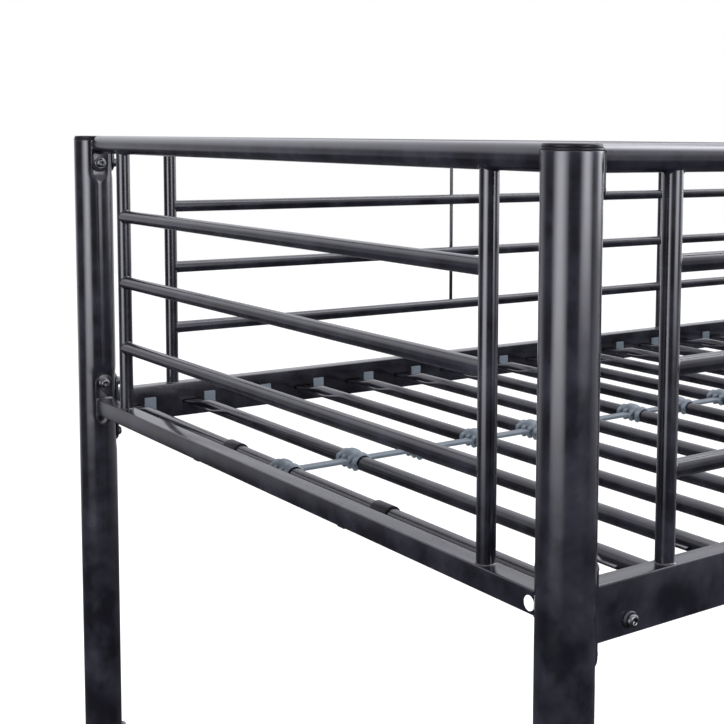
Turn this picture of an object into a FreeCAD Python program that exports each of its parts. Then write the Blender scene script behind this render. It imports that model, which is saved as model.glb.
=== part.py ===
import FreeCAD, Part

import os
import re

import Sketcher
from FreeCAD import Placement, Rotation, Vector

# Metal bunk bed for two 90 x 200 cm mattresses, with a hook-on ladder.
# Millimetres, +Z up, the origin on the floor under the middle of the whole object.
# +X runs along the bed, with the ladder near the +X end of the front side, which faces -Y.
# "Drop" values are measured down from the axis of a bunk's top rail.

SIZES = {
    "post_pitch_x": (2030, "post axis to post axis along the bed"),
    "post_pitch_y": (930, "post axis to post axis across the bed"),
    "bed_offset_y": (101.28, "middle of the bed, back from the origin, because the ladder stands in front"),
    "bed_height": (1650, "floor to the top of the upper rails"),
    "lower_axis": (647, "height of the lower bunk's top rail axis"),
    "split_height": (820, "where the upper posts stand on the lower posts"),
    "post_dia": (46, "post tube"),
    "post_wall": (1.5, "wall of the posts and rails"),
    "post_flat": (20.5, "post axis to the flat pressed into the post under a plate"),
    "flat_margin": (8, "flat beyond the end of its plate"),
    "cap_height": (5.5, "visible height of a post cap"),
    "cap_rim": (2, "full-width rim of a post cap"),
    "cap_step": (0.7, "dome of a post cap, in from its rim"),
    "cap_round": (1.6, "chamfer round that dome"),
    "foot_height": (6, "visible height of a foot cap"),
    "foot_chamfer": (2, "chamfer under a foot cap"),
    "plug_depth": (18, "plug of a cap inside its tube"),
    "plug_gap": (0.2, "room around that plug"),
    "sleeve_dia": (42.6, "sleeve that joins two posts"),
    "sleeve_wall": (2, "wall of the sleeve"),
    "sleeve_length": (160, "length of the sleeve"),
    "sleeve_bolt_rise": (45, "sleeve bolt above and below the split"),
    "rail_dia": (22, "round top rails"),
    "upright_dia": (16, "uprights of the ends and guards"),
    "bar_dia": (15, "horizontal bars of the ends and guards"),
    "rod_dia": (5, "thin rods behind the guard bars"),
    "rod_inset": (567, "post axis to a rod, along the bed"),
    "rod_stop": (8.4, "top of a rod below the top rail's axis"),
    "thin_wall": (1.2, "wall of uprights, bars and slats"),
    "end_upright_inset": (97.5, "post axis to upright, at an end"),
    "end_bar_drop": (86.5, "first bar of an end"),
    "end_bar_pitch": (80.6, "bar to bar at an end"),
    "guard_upright_inset": (102.5, "post axis to the first upright of a guard"),
    "guard_bar_drop": (81, "first bar of a guard, and bar to bar"),
    "guard_opening": (400, "opening in the front guard, beside the right-hand post"),
    "guard_bend": (60, "bend of the front guard's top rail, on its axis"),
    "end_rail_size": (20, "square bottom rail of an end"),
    "end_rail_drop": (323.5, "top of the square bottom rail"),
    "side_rail_width": (20, "side rail, across"),
    "side_rail_height": (45, "side rail, height"),
    "side_rail_drop": (317, "top of the side rail"),
    "slat_dia": (16, "round slat tubes"),
    "slat_drop": (340.3, "slat axis"),
    "slat_start": (41, "post axis to the first slat"),
    "slat_pitch": (84.25, "slat to slat"),
    "slat_taper": (48, "length over which a slat's end is pressed flat"),
    "tongue_width": (25, "flat end of a slat"),
    "tongue_thick": (4, "thickness of the flat end"),
    "tongue_length": (10, "flat end up to the side rail"),
    "tongue_depth": (8, "flat end inside the side rail"),
    "tongue_sink": (2, "flat end below the slat's axis"),
    "slot_gap": (0.5, "room around a slat's end in its slot"),
    "plug_offset": (25, "slat axis to the plug beside it"),
    "plug_width": (16, "visible width of a plug"),
    "plug_height": (20, "visible height of a plug"),
    "plug_thick": (3, "plate of a plug"),
    "plug_drop": (331.9, "top of a plug"),
    "plug_stem": (8, "square hole for a plug's stem"),
    "stem_gap": (0.2, "room round the stem in its hole"),
    "stem_length": (5.5, "stem behind the plug's plate"),
    "strip_shift": (38, "clip strip behind the middle of the bed"),
    "strip_shell": (2.5, "shell of the clip strip over a slat"),
    "strip_rib": (2.5, "ribs on that shell"),
    "strip_saddle": (40, "clip strip along a slat"),
    "strip_wrap": (5.6, "shell down past the slat's axis"),
    "rib_wrap": (9.6, "ribs down past the slat's axis"),
    "strip_root": (1.5, "start of a strap inside the shell, out from the slat's skin"),
    "strip_width": (13, "strap between two slats"),
    "strip_thick": (3, "thickness of that strap"),
    "clip_length": (26, "end clip along its slat"),
    "clip_shell": (2, "shell of an end clip over its slat"),
    "clip_wrap": (4.8, "end clip down past the slat's axis"),
    "clip_arm_width": (12, "arm of an end clip under the end rail"),
    "clip_arm_end": (7, "end of that arm, past the end rail's middle"),
    "clip_screw_inset": (2, "end clip screw, inwards from the end rail's middle"),
    "plate_thick": (3, "bracket plates"),
    "plate_width": (22, "bracket plates"),
    "top_bolt_drop": (23, "bolt below a top rail"),
    "top_plate_drop": (34, "bottom of a top rail's plate"),
    "end_bolt_rise": (20, "bolt above an end's bottom rail"),
    "side_bolt_rise": (33, "side rail's bolts above and below its middle"),
    "side_plate_height": (88, "side rail's plate"),
    "hanger_length": (75, "strip of the side rail's bracket inside the rail"),
    "hanger_height": (36, "height of that strip"),
    "hanger_bolt_inset": (56, "post axis to the bolt through the side rail"),
    "hanger_bolt_drop": (10.5, "that bolt below the middle of the side rail"),
    "bolt_dia": (6, "M6 bolts"),
    "bolt_length": (15.5, "bolt under its head"),
    "bolt_tip": (0.7, "chamfer at a bolt's end"),
    "bolt_head_dia": (11.5, "button head"),
    "bolt_head_height": (4, "button head"),
    "bolt_head_side": (1.2, "straight side of that head"),
    "bolt_head_shoulder": (2.9, "height of the dome's corner"),
    "bolt_head_corner": (5, "radius of that corner"),
    "bolt_head_flat": (3.5, "radius of the head's flat top"),
    "bolt_socket": (4, "hex socket, across the flats"),
    "bolt_socket_depth": (2.2, "hex socket"),
    "washer_dia": (13.5, "washers"),
    "washer_thick": (2.5, "washers"),
    "nut_dia": (10, "insert nuts"),
    "nut_length": (14, "insert nuts"),
    "plate_hole": (7, "clearance hole for a bolt"),
    "screw_dia": (4, "end clip screws"),
    "screw_length": (8, "end clip screws, under the head"),
    "screw_head_dia": (8, "end clip screws"),
    "screw_head_height": (2.5, "end clip screws"),
    "screw_head_side": (1, "straight side of that head"),
    "screw_head_flat": (2.8, "radius of that head's flat end"),
    "ladder_lean": (8, "degrees from upright"),
    "ladder_width": (320, "stile axis to stile axis"),
    "ladder_shift": (18, "middle of the ladder, left of the middle of the opening"),
    "ladder_foot_y": (674.4, "stile axis in front of the bed's middle, at the floor"),
    "ladder_length": (1400, "stiles, along their slope"),
    "ladder_tube_dia": (25, "stiles"),
    "rung_dia": (22, "rungs"),
    "rung_pitch": (258, "floor to the first rung and rung to rung, along the slope"),
    "ladder_foot_dia": (32, "ladder feet"),
    "ladder_foot_length": (45, "ladder feet, along the slope"),
    "ladder_foot_pad": (8, "rubber under a stile's end"),
    "ladder_cap_height": (4.5, "cap on a stile"),
    "ladder_cap_edge": (2, "straight side and rounding of that cap"),
    "hook_thick": (5, "hook bar"),
    "hook_width": (22, "hook bar"),
    "hook_drop": (14, "hook behind the side rail"),
    "hook_leg": (30, "hook in front of the side rail"),
    "hook_gap": (0.5, "room between a hook and the side rail, front and back"),
    "hook_seat_gap": (0.3, "room between a hook and the top of the side rail"),
    "disc_dia": (12, "blank sticker"),
    "disc_thick": (0.3, "blank sticker"),
    "disc_inset": (30, "post axis to the sticker"),
    "disc_drop": (11, "sticker's middle below the top of the bottom rail"),
}

SLATS_PER_HALF = 12
BARS = 3
RUNGS = 5
STRIP_RIBS = 4

ALONG = {
    "+x": Rotation(Vector(0, 1, 0), 90),
    "-x": Rotation(Vector(0, 1, 0), -90),
    "+y": Rotation(Vector(1, 0, 0), -90),
    "-y": Rotation(Vector(1, 0, 0), 90),
    "+z": Rotation(),
    "-z": Rotation(Vector(1, 0, 0), 180),
}
HALF_TURN = Rotation(Vector(0, 0, 1), 180)
QUARTER_TURN = Rotation(Vector(0, 0, 1), 90)

# A bar is made along its own Z axis, with upright coping tools along its own X axis.
BAR_ALONG_X = ALONG["+x"]
BAR_ALONG_Y = QUARTER_TURN.multiply(ALONG["+x"])

MATHS = ("sin", "cos")
HEXAGON = [(2, 0), (1, 1), (-1, 1), (-2, 0), (-1, -1), (1, -1)]
UPPER = "(bed_height - rail_dia / 2)"
LOWER = "lower_axis"
AXES = {"upper": UPPER, "lower": LOWER}
FACE = "(post_flat + plate_thick)"
SIDE_RAIL_DROP = "(side_rail_drop + side_rail_height / 2)"
END_BOLT_DROP = "(end_rail_drop - end_bolt_rise)"
FRONT_Y = "(bed_offset_y - post_pitch_y / 2)"
BACK_Y = "(bed_offset_y + post_pitch_y / 2)"
GUARD_OUTER = "(post_pitch_x / 2 - guard_upright_inset)"
GUARD_END = "(post_pitch_x / 2 - post_dia / 2 - guard_opening - rail_dia / 2)"
GUARD_ROWS = [f"{UPPER} - {n + 1} * guard_bar_drop" for n in range(BARS)]
LADDER_X = "(post_pitch_x / 2 - post_dia / 2 - guard_opening / 2 - ladder_shift)"
SHEET = "Sizes"

doc = FreeCAD.newDocument("BunkBed")


def make_sheet():
    """Put the driving dimensions in a spreadsheet, one named cell each."""
    sheet = doc.addObject("Spreadsheet::Sheet", SHEET)
    for row, (name, (value, note)) in enumerate(SIZES.items(), start=1):
        sheet.set(f"A{row}", name)
        sheet.set(f"B{row}", str(value))
        sheet.set(f"C{row}", note)
        sheet.setAlias(f"B{row}", name)
    doc.recompute()


def cells(text):
    """Turn plain size names in an expression into references to their cells."""

    def refer(match):
        word = match.group()
        return word if word in MATHS else f"{SHEET}.{word}"

    return re.sub(r"[a-z][a-z_]*", refer, str(text))


def bind(item, **sizes):
    for prop, text in sizes.items():
        item.setExpression(prop, cells(text))


def put(item, x="0", y="0", z="0", turn=ALONG["+z"]):
    """Place an object, with its position bound to the sheet."""
    item.Placement = Placement(Vector(), turn)
    for axis, text in zip("xyz", (x, y, z)):
        item.setExpression(f"Placement.Base.{axis}", cells(text))
    return item


# ---- primitives and booleans ----


def cylinder(name, dia, length):
    item = doc.addObject("Part::Cylinder", name)
    bind(item, Radius=f"({dia}) / 2", Height=length)
    return item


def box(name, length, width, height, x="0", y="0", z="0"):
    """A box whose low corner is at x, y, z."""
    item = doc.addObject("Part::Box", name)
    bind(item, Length=length, Width=width, Height=height)
    return put(item, x, y, z)


def cut(name, base, tool):
    item = doc.addObject("Part::Cut", name)
    item.Base = base
    item.Tool = tool
    return item


def fuse(name, items):
    item = doc.addObject("Part::MultiFuse", name)
    item.Shapes = items
    item.Refine = True
    return item


def group(name, items):
    """Separate solids that share one node."""
    item = doc.addObject("Part::Compound", name)
    item.Links = items
    return item


def copy_of(master, name, place):
    """One more of a piece, at an x, y, z and a turn."""
    link = doc.addObject("App::Link", f"{name}_copy")
    link.LinkedObject = master
    link.LinkTransform = True
    return put(link, *place)


def copies(name, master, places):
    return group(name, [copy_of(master, name, place) for place in places])


def tube(name, dia, wall, length):
    outer = cylinder(f"{name}_outer", dia, length)
    inner = cylinder(f"{name}_bore", f"({dia}) - 2 * ({wall})", length)
    return cut(name, outer, inner)


def box_tube(name, length, width, height, wall):
    """A rectangular tube along X, centred on the X axis."""
    outer = box(f"{name}_outer", length, width, height, y=f"-({width}) / 2", z=f"-({height}) / 2")
    inner = box(
        f"{name}_bore",
        length,
        f"{width} - 2 * {wall}",
        f"{height} - 2 * {wall}",
        y=f"-({width}) / 2 + {wall}",
        z=f"-({height}) / 2 + {wall}",
    )
    return cut(name, outer, inner)


# ---- bodies with sketches ----


def make_body(name):
    item = doc.addObject("PartDesign::Body", name)
    item.AllowCompound = True
    return item


def origin_plane(body, role):
    return next(f for f in body.Origin.OriginFeatures if f.Role == role)


def sketch_on(body, role, lift="0"):
    sketch = body.newObject("Sketcher::SketchObject", f"{body.Name}_sketch")
    sketch.AttachmentSupport = [(origin_plane(body, role), "")]
    sketch.MapMode = "FlatFace"
    sketch.setExpression("AttachmentOffset.Base.z", cells(lift))
    return sketch


def fix(sketch, kind, index, point, text):
    """Hold one coordinate of a sketch point at an expression."""
    number = sketch.addConstraint(Sketcher.Constraint(kind, -1, 1, index, point, 1.0))
    sketch.setExpression(f"Constraints[{number}]", cells(text))


def polygon(sketch, points):
    """A closed outline through points, each a pair of expressions."""
    count = len(points)
    for index in range(count):
        start = Vector(index, index * index, 0)
        after = (index + 1) % count
        end = Vector(after, after * after, 0)
        sketch.addGeometry(Part.LineSegment(start, end))
    for index, (across, up) in enumerate(points):
        sketch.addConstraint(Sketcher.Constraint("Coincident", index, 2, (index + 1) % count, 1))
        fix(sketch, "DistanceX", index, 1, across)
        fix(sketch, "DistanceY", index, 1, up)


def circle(sketch, dia):
    index = sketch.addGeometry(Part.Circle(Vector(), Vector(0, 0, 1), 1.0))
    sketch.addConstraint(Sketcher.Constraint("Coincident", index, 3, -1, 1))
    number = sketch.addConstraint(Sketcher.Constraint("Diameter", index, 2.0))
    sketch.setExpression(f"Constraints[{number}]", cells(dia))


def feature(body, kind, sketch, **sizes):
    item = body.newObject(f"PartDesign::{kind}", f"{body.Name}_{kind.lower()}")
    item.Profile = sketch
    bind(item, **sizes)
    return item


def turned(name, outline):
    """A body turned about its Z axis from a half outline of radius and height pairs."""
    body = make_body(name)
    sketch = sketch_on(body, "XZ_Plane")
    polygon(sketch, outline)
    turn = body.newObject("PartDesign::Revolution", f"{name}_turn")
    turn.Profile = sketch
    turn.ReferenceAxis = (sketch, ["V_Axis"])
    turn.Angle = 360
    return body


# ---- posts ----


class Post:
    """One corner of the bed: side is -1 left or +1 right, depth is -1 front or +1 back."""

    def __init__(self, name, side, depth):
        self.name = name
        self.side = side
        self.depth = depth
        self.x = f"({side} * post_pitch_x / 2)"
        self.y = f"(bed_offset_y + {depth} * post_pitch_y / 2)"
        self.inward = {"x": -side, "y": -depth}

    def facing(self, axis):
        return ("+" if self.inward[axis] > 0 else "-") + axis

    def spot(self, axis, radius):
        """The point at a distance inwards from the post's axis, along X or Y."""
        step = f" + ({self.inward[axis]}) * ({radius})"
        return (self.x + step, self.y) if axis == "x" else (self.x, self.y + step)


POSTS = [
    Post("front_left", -1, -1),
    Post("front_right", 1, -1),
    Post("back_left", -1, 1),
    Post("back_right", 1, 1),
]


def has_guard(post):
    """The front guard stops before the right-hand post, to let the sleeper in."""
    return post.name != "front_right"


def post_flats(post, level):
    """Faces of a post that carry a plate, with the plate's bottom and top heights."""
    axis = AXES[level]
    side_middle = f"({axis} - {SIDE_RAIL_DROP})"
    top = "(rail_dia / 2 - cap_height)"
    flats = [
        ("y", f"{axis} - top_plate_drop", f"{axis} + {top}"),
        ("y", f"{axis} - end_rail_drop - end_rail_size", f"{axis} - {END_BOLT_DROP} + plate_width / 2"),
        ("x", f"{side_middle} - side_plate_height / 2", f"{side_middle} + side_plate_height / 2"),
    ]
    if level == "upper" and has_guard(post):
        flats.append(("x", f"{axis} - top_plate_drop", f"{axis} + {top}"))
    return flats


def post_bolts(post, level):
    """Every bolt into a post: the face it enters, its height, and where its seat is."""
    axis = AXES[level]
    side_middle = f"{axis} - {SIDE_RAIL_DROP}"
    bolts = [
        ("y", f"{axis} - top_bolt_drop", FACE),
        ("y", f"{axis} - {END_BOLT_DROP}", FACE),
        ("x", f"{side_middle} + side_bolt_rise", FACE),
        ("x", f"{side_middle} - side_bolt_rise", FACE),
    ]
    if level == "upper" and has_guard(post):
        bolts.append(("x", f"{axis} - top_bolt_drop", FACE))
    sign = "+" if level == "upper" else "-"
    bolts.append(("x", f"split_height {sign} sleeve_bolt_rise", "(post_dia / 2)"))
    return bolts


def flat_tools(name, post, level, inset):
    """Boxes that press the flats, moved in by the wall for the bore."""
    tools = []
    for number, (axis, low, high) in enumerate(post_flats(post, level)):
        reach = f"(post_flat - {inset})"
        low_end = f"({low} - flat_margin - {inset})"
        height = f"({high}) - ({low}) + 2 * (flat_margin + {inset})"
        sign = post.inward[axis]
        near = reach if sign > 0 else f"-({reach}) - post_dia"
        wide = "2 * post_dia"
        label = f"{name}_flat_{number}"
        if axis == "x":
            tools.append(box(label, "post_dia", wide, height, near, "-post_dia", low_end))
        else:
            tools.append(box(label, wide, "post_dia", height, "-post_dia", near, low_end))
    return group(f"{name}_flats", tools)


def make_post(post, level):
    """A round tube with pressed flats for the plates and holes for the insert nuts."""
    name = f"{level}_post_{post.name}"
    low = "split_height" if level == "upper" else "foot_height"
    length = "bed_height - cap_height - split_height" if level == "upper" else "split_height - foot_height"
    skins = []
    for part, dia, inset in (("skin", "post_dia", "0"), ("bore", "post_dia - 2 * post_wall", "post_wall")):
        round_part = put(cylinder(f"{name}_{part}_round", dia, length), z=low)
        skins.append(cut(f"{name}_{part}", round_part, flat_tools(f"{name}_{part}", post, level, inset)))
    shell = cut(f"{name}_shell", *skins)
    drills = []
    for number, (axis, height, _) in enumerate(post_bolts(post, level)):
        drill = cylinder(f"{name}_drill_{number}", "nut_dia", "post_dia")
        drills.append(put(drill, z=height, turn=ALONG[post.facing(axis)]))
    put(cut(name, shell, group(f"{name}_drills", drills)), post.x, post.y)


def make_post_ends():
    edge = "post_dia / 2"
    cap_plug = "(post_flat - post_wall - plug_gap)"
    foot_plug = "(post_dia / 2 - post_wall - plug_gap)"
    dome = f"{edge} - cap_step"
    cap = turned("cap", [
        ("0", "-plug_depth"), (cap_plug, "-plug_depth"), (cap_plug, "0"), (edge, "0"),
        (edge, "cap_rim"), (dome, "cap_rim"), (dome, "cap_height - cap_round"),
        (f"{dome} - cap_round", "cap_height"), ("0", "cap_height"),
    ])
    foot = turned("foot", [
        ("0", "0"), (f"{edge} - foot_chamfer", "0"), (edge, "foot_chamfer"),
        (edge, "foot_height"), (foot_plug, "foot_height"),
        (foot_plug, "foot_height + plug_depth"), ("0", "foot_height + plug_depth"),
    ])
    sleeve = tube("sleeve", "sleeve_dia", "sleeve_wall", "sleeve_length")
    copies("post_top_caps", cap, [(p.x, p.y, "bed_height - cap_height") for p in POSTS])
    copies("post_foot_caps", foot, [(p.x, p.y) for p in POSTS])
    drilled_sleeves = {}
    for side in (-1, 1):
        drills = []
        for number, sign in enumerate("+-"):
            height = f"sleeve_length / 2 {sign} sleeve_bolt_rise"
            drill = cylinder(f"sleeve_drill_{number}", "nut_dia", "post_dia")
            drills.append(put(drill, z=height, turn=ALONG["+x" if side < 0 else "-x"]))
        drilled_sleeves[side] = cut("drilled_sleeve", sleeve, group("sleeve_drills", drills))
    low = "split_height - sleeve_length / 2"
    places = [(drilled_sleeves[post.side], "sleeve", (post.x, post.y, low)) for post in POSTS]
    group("post_joint_sleeves", [copy_of(*place) for place in places])


# ---- end panels ----


def make_end(level, side):
    """Top rail, bottom rail, two uprights and three bars of one end of one bunk."""
    axis = AXES[level]
    name = f"{level}_{'left' if side < 0 else 'right'}_end"
    x = f"{side} * post_pitch_x / 2"
    span = f"(post_pitch_y - 2 * {FACE})"
    front = f"bed_offset_y - post_pitch_y / 2 + {FACE}"
    top = tube(f"{name}_top_rail", "rail_dia", "post_wall", span)
    put(top, x, front, axis, ALONG["+y"])

    bottom = box_tube(f"{name}_bottom_blank", span, "end_rail_size", "end_rail_size", "post_wall")
    holes = []
    for number, share in enumerate((1, 2)):
        hole = cylinder(f"{name}_clip_hole_{number}", "screw_dia", "end_rail_size / 2")
        reach = f"{share} * post_pitch_y / 3 - {FACE}"
        holes.append(put(hole, reach, f"({side}) * clip_screw_inset", turn=ALONG["-z"]))
    square = cut(f"{name}_bottom_rail", bottom, group(f"{name}_clip_holes", holes))
    middle = f"{axis} - end_rail_drop - end_rail_size / 2"
    put(square, x, front, middle, QUARTER_TURN)

    upright = coped_upright(f"{name}_upright", "end_rail_drop", "+y")
    first = "bed_offset_y - post_pitch_y / 2 + end_upright_inset"
    last = "bed_offset_y + post_pitch_y / 2 - end_upright_inset"
    foot = f"{axis} - end_rail_drop"
    copies(f"{name}_uprights", upright, [(x, first, foot), (x, last, foot)])

    bar = coped_bar(f"{name}_bar", "post_pitch_y - 2 * end_upright_inset", "upright_dia", "upright_dia")
    rows = [f"{axis} - end_bar_drop - {n} * end_bar_pitch" for n in range(BARS)]
    copies(f"{name}_bars", bar, [(x, first, row, BAR_ALONG_Y) for row in rows])


def coped_upright(name, height, rail_along):
    """An upright whose top is cut to the round rail that it meets."""
    blank = tube(f"{name}_blank", "upright_dia", "thin_wall", height)
    rail = cylinder(f"{name}_cope", "rail_dia", "2 * rail_dia")
    shift = {"x": "0", "y": "0"}
    shift[rail_along[-1]] = "-rail_dia"
    put(rail, shift["x"], shift["y"], height, ALONG[rail_along])
    return cut(name, blank, rail)


def coped_bar(name, length, near_dia, far_dia):
    """A bar along its own Z axis, cut at both ends to the round tubes that it meets."""
    blank = tube(f"{name}_blank", "bar_dia", "thin_wall", length)
    tools = []
    for number, (dia, reach) in enumerate(((near_dia, "0"), (far_dia, length))):
        tool = cylinder(f"{name}_cope_{number}", dia, "2 * rail_dia")
        tools.append(put(tool, "-rail_dia", "0", reach, ALONG["+x"]))
    return cut(name, blank, group(f"{name}_copes", tools))


# ---- guards of the upper bunk ----


def make_guards():
    """Both guards stand on the upper side rails, and share their uprights, long bars and rods."""
    upright = coped_upright("guard_upright", "side_rail_drop", "+x")
    bar = coped_bar("guard_bar", GUARD_OUTER, "upright_dia", "upright_dia")
    rod = cylinder("guard_rod", "rod_dia", f"{BARS} * guard_bar_drop - rod_stop")
    make_back_guard(upright, bar, rod)
    make_front_guard(upright, bar, rod)


def upright_places(y, columns):
    return [(x, y, f"{UPPER} - side_rail_drop") for x in columns]


def rod_places(y, sides):
    x = "(post_pitch_x / 2 - rod_inset)"
    return [(f"({side}) * {x}", y, f"{UPPER} - {BARS} * guard_bar_drop") for side in sides]


def make_back_guard(upright, bar, rod):
    reach = f"(post_pitch_x / 2 - {FACE})"
    rail = tube("back_guard_top_rail", "rail_dia", "post_wall", f"2 * {reach}")
    put(rail, f"-{reach}", BACK_Y, UPPER, ALONG["+x"])
    copies("back_guard_uprights", upright, upright_places(BACK_Y, (f"-{GUARD_OUTER}", "0", GUARD_OUTER)))
    places = [(x, BACK_Y, row, BAR_ALONG_X) for row in GUARD_ROWS for x in (f"-{GUARD_OUTER}", "0")]
    copies("back_guard_bars", bar, places)
    copies("back_guard_rods", rod, rod_places(f"{BACK_Y} + (bar_dia + rod_dia) / 2", (-1, 1)))


def make_front_guard(upright, bar, rod):
    """The front guard ends in a bend down to the side rail, which leaves the way in."""
    copies("front_guard_uprights", upright, upright_places(FRONT_Y, (f"-{GUARD_OUTER}", "0")))
    copies("front_guard_rods", rod, rod_places(f"{FRONT_Y} - (bar_dia + rod_dia) / 2", (-1,)))
    short_bar = coped_bar("short_guard_bar", GUARD_END, "upright_dia", "rail_dia")
    links = []
    for row in GUARD_ROWS:
        links.append(copy_of(bar, "front_bar", (f"-{GUARD_OUTER}", FRONT_Y, row, BAR_ALONG_X)))
        links.append(copy_of(short_bar, "front_bar", ("0", FRONT_Y, row, BAR_ALONG_X)))
    group("front_guard_bars", links)
    make_bent_rail()


def make_bent_rail():
    start = f"(-post_pitch_x / 2 + {FACE})"
    run = f"({GUARD_END} - guard_bend - {start})"
    drop = "(side_rail_drop - guard_bend)"
    shells = []
    for part, dia in (("skin", "rail_dia"), ("bore", "(rail_dia - 2 * post_wall)")):
        level = put(cylinder(f"guard_rail_{part}_level", dia, run), f"-{run}", turn=ALONG["+x"])
        elbow = doc.addObject("Part::Torus", f"guard_rail_{part}_bend")
        bind(elbow, Radius1="guard_bend", Radius2=f"{dia} / 2")
        elbow.Angle3 = 90
        # The quarter ring turns from level, at its start, to straight down, at its end.
        put(elbow, z="-guard_bend", turn=Rotation(Vector(1, 0, 0), 90))
        down = cylinder(f"guard_rail_{part}_drop", dia, drop)
        put(down, "guard_bend", z="-guard_bend", turn=ALONG["-z"])
        shells.append(fuse(f"guard_rail_{part}", [level, elbow, down]))
    rail = cut("front_guard_top_rail", *shells)
    put(rail, f"{GUARD_END} - guard_bend", FRONT_Y, UPPER)


# ---- side rails, slats and their plastic pieces ----


def slat_places():
    """Where the slats lie along the bed: the same on both halves, counted from the posts."""
    places = []
    for side in (-1, 1):
        for number in range(SLATS_PER_HALF):
            inset = f"(post_pitch_x / 2 - slat_start - {number} * slat_pitch)"
            places.append((side, f"({side} * {inset})"))
    return places


def make_slat():
    """A round tube, pressed flat at both ends to tongues that enter the side rails."""
    body = make_body("slat")
    inner = "(post_pitch_y / 2 - side_rail_width / 2)"
    start = f"({inner} - tongue_length - slat_taper)"
    ring = sketch_on(body, "XZ_Plane", f"-{start}")
    circle(ring, "slat_dia")
    circle(ring, "slat_dia - 2 * thin_wall")
    feature(body, "Pad", ring, Length=f"2 * {start}")
    half = "tongue_width / 2"
    low = "-tongue_sink - tongue_thick / 2"
    high = "-tongue_sink + tongue_thick / 2"
    flat = [(f"-{half}", low), (half, low), (half, high), (f"-{half}", high)]
    round_end = sketch_on(body, "XZ_Plane", f"-{start}")
    circle(round_end, "slat_dia")
    flat_end = sketch_on(body, "XZ_Plane", f"-({start} + slat_taper)")
    polygon(flat_end, flat)
    loft = body.newObject("PartDesign::AdditiveLoft", "slat_loft")
    loft.Profile = round_end
    loft.Sections = [flat_end]
    tongue_sketch = sketch_on(body, "XZ_Plane", f"-({start} + slat_taper)")
    polygon(tongue_sketch, flat)
    tongue = feature(body, "Pad", tongue_sketch, Length="tongue_length + tongue_depth")
    tongue.Reversed = True
    mirror = body.newObject("PartDesign::Mirrored", "slat_mirror")
    mirror.Originals = [loft, tongue]
    mirror.MirrorPlane = (origin_plane(body, "XZ_Plane"), [""])
    body.Tip = mirror
    return body


def make_side_rail(level, depth):
    """A rectangular tube with a slot for each slat and a square hole for each plug."""
    axis = AXES[level]
    name = f"{level}_{'front' if depth < 0 else 'back'}_side_rail"
    length = f"(post_pitch_x - 2 * {FACE})"
    start = f"(-post_pitch_x / 2 + {FACE})"
    blank = box_tube(f"{name}_blank", length, "side_rail_width", "side_rail_height", "post_wall")
    middle = f"({axis} - {SIDE_RAIL_DROP})"
    slot_length = "(tongue_width + 2 * slot_gap)"
    slot_height = "(tongue_thick + 2 * slot_gap)"
    inner = "0" if depth < 0 else "-side_rail_width"
    slot = box(f"{name}_slot", slot_length, "side_rail_width", slot_height, f"-{slot_length} / 2", inner)
    hole = box(f"{name}_hole", "plug_stem", "side_rail_width", "plug_stem", "-plug_stem / 2", inner)
    slot_z = f"{axis} - slat_drop - tongue_sink - {slot_height} / 2 - {middle}"
    hole_z = f"{axis} - plug_drop - plug_height / 2 - plug_stem / 2 - {middle}"
    slots = [(f"{x} - {start}", "0", slot_z) for _, x in slat_places()]
    holes = [(f"{x} - ({side}) * plug_offset - {start}", "0", hole_z) for side, x in slat_places()]
    opened = cut(f"{name}_opened", blank, group(f"{name}_openings", [
        copies(f"{name}_slots", slot, slots),
        copies(f"{name}_holes", hole, holes),
    ]))
    drills = []
    for number, side in enumerate((-1, 1)):
        drill = cylinder(f"{name}_drill_{number}", "plate_hole", "side_rail_width")
        x = f"({side}) * (post_pitch_x / 2 - hanger_bolt_inset) - {start}"
        drills.append(put(drill, x, "0", "-hanger_bolt_drop", ALONG["-y" if depth < 0 else "+y"]))
    rail = cut(name, opened, group(f"{name}_drills", drills))
    put(rail, start, f"bed_offset_y + {depth} * post_pitch_y / 2", middle)


def make_plugs(level):
    """Plastic plugs beside the slats, on the inner faces of both side rails."""
    axis = AXES[level]
    plate = box("plug_plate", "plug_width", "plug_thick", "plug_height", "-plug_width / 2")
    across = "(plug_stem - 2 * stem_gap)"
    stem = box(
        "plug_stem_block", across, "stem_length", across,
        f"-{across} / 2", "-stem_length", f"plug_height / 2 - {across} / 2",
    )
    plug = fuse(f"{level}_plug", [plate, stem])
    places = []
    for depth in (-1, 1):
        y = f"bed_offset_y + {depth} * (post_pitch_y / 2 - side_rail_width / 2)"
        turn = ALONG["+z"] if depth < 0 else HALF_TURN
        for side, x in slat_places():
            places.append((f"{x} - ({side}) * plug_offset", y, f"{axis} - plug_drop - plug_height", turn))
    copies(f"{level}_slat_plugs", plug, places)


def shell_over_slat(name, shell, length, open_below):
    """A ring over a slat, along Y, open underneath."""
    outer = cylinder(f"{name}_outer", f"slat_dia + 2 * {shell}", length)
    put(outer, y=f"-({length}) / 2", turn=ALONG["+y"])
    mouth = box(
        f"{name}_mouth", "4 * slat_dia", f"2 * ({length})", "2 * slat_dia",
        "-2 * slat_dia", f"-({length})", f"-2 * slat_dia - {open_below}",
    )
    return cut(name, outer, mouth)


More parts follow.
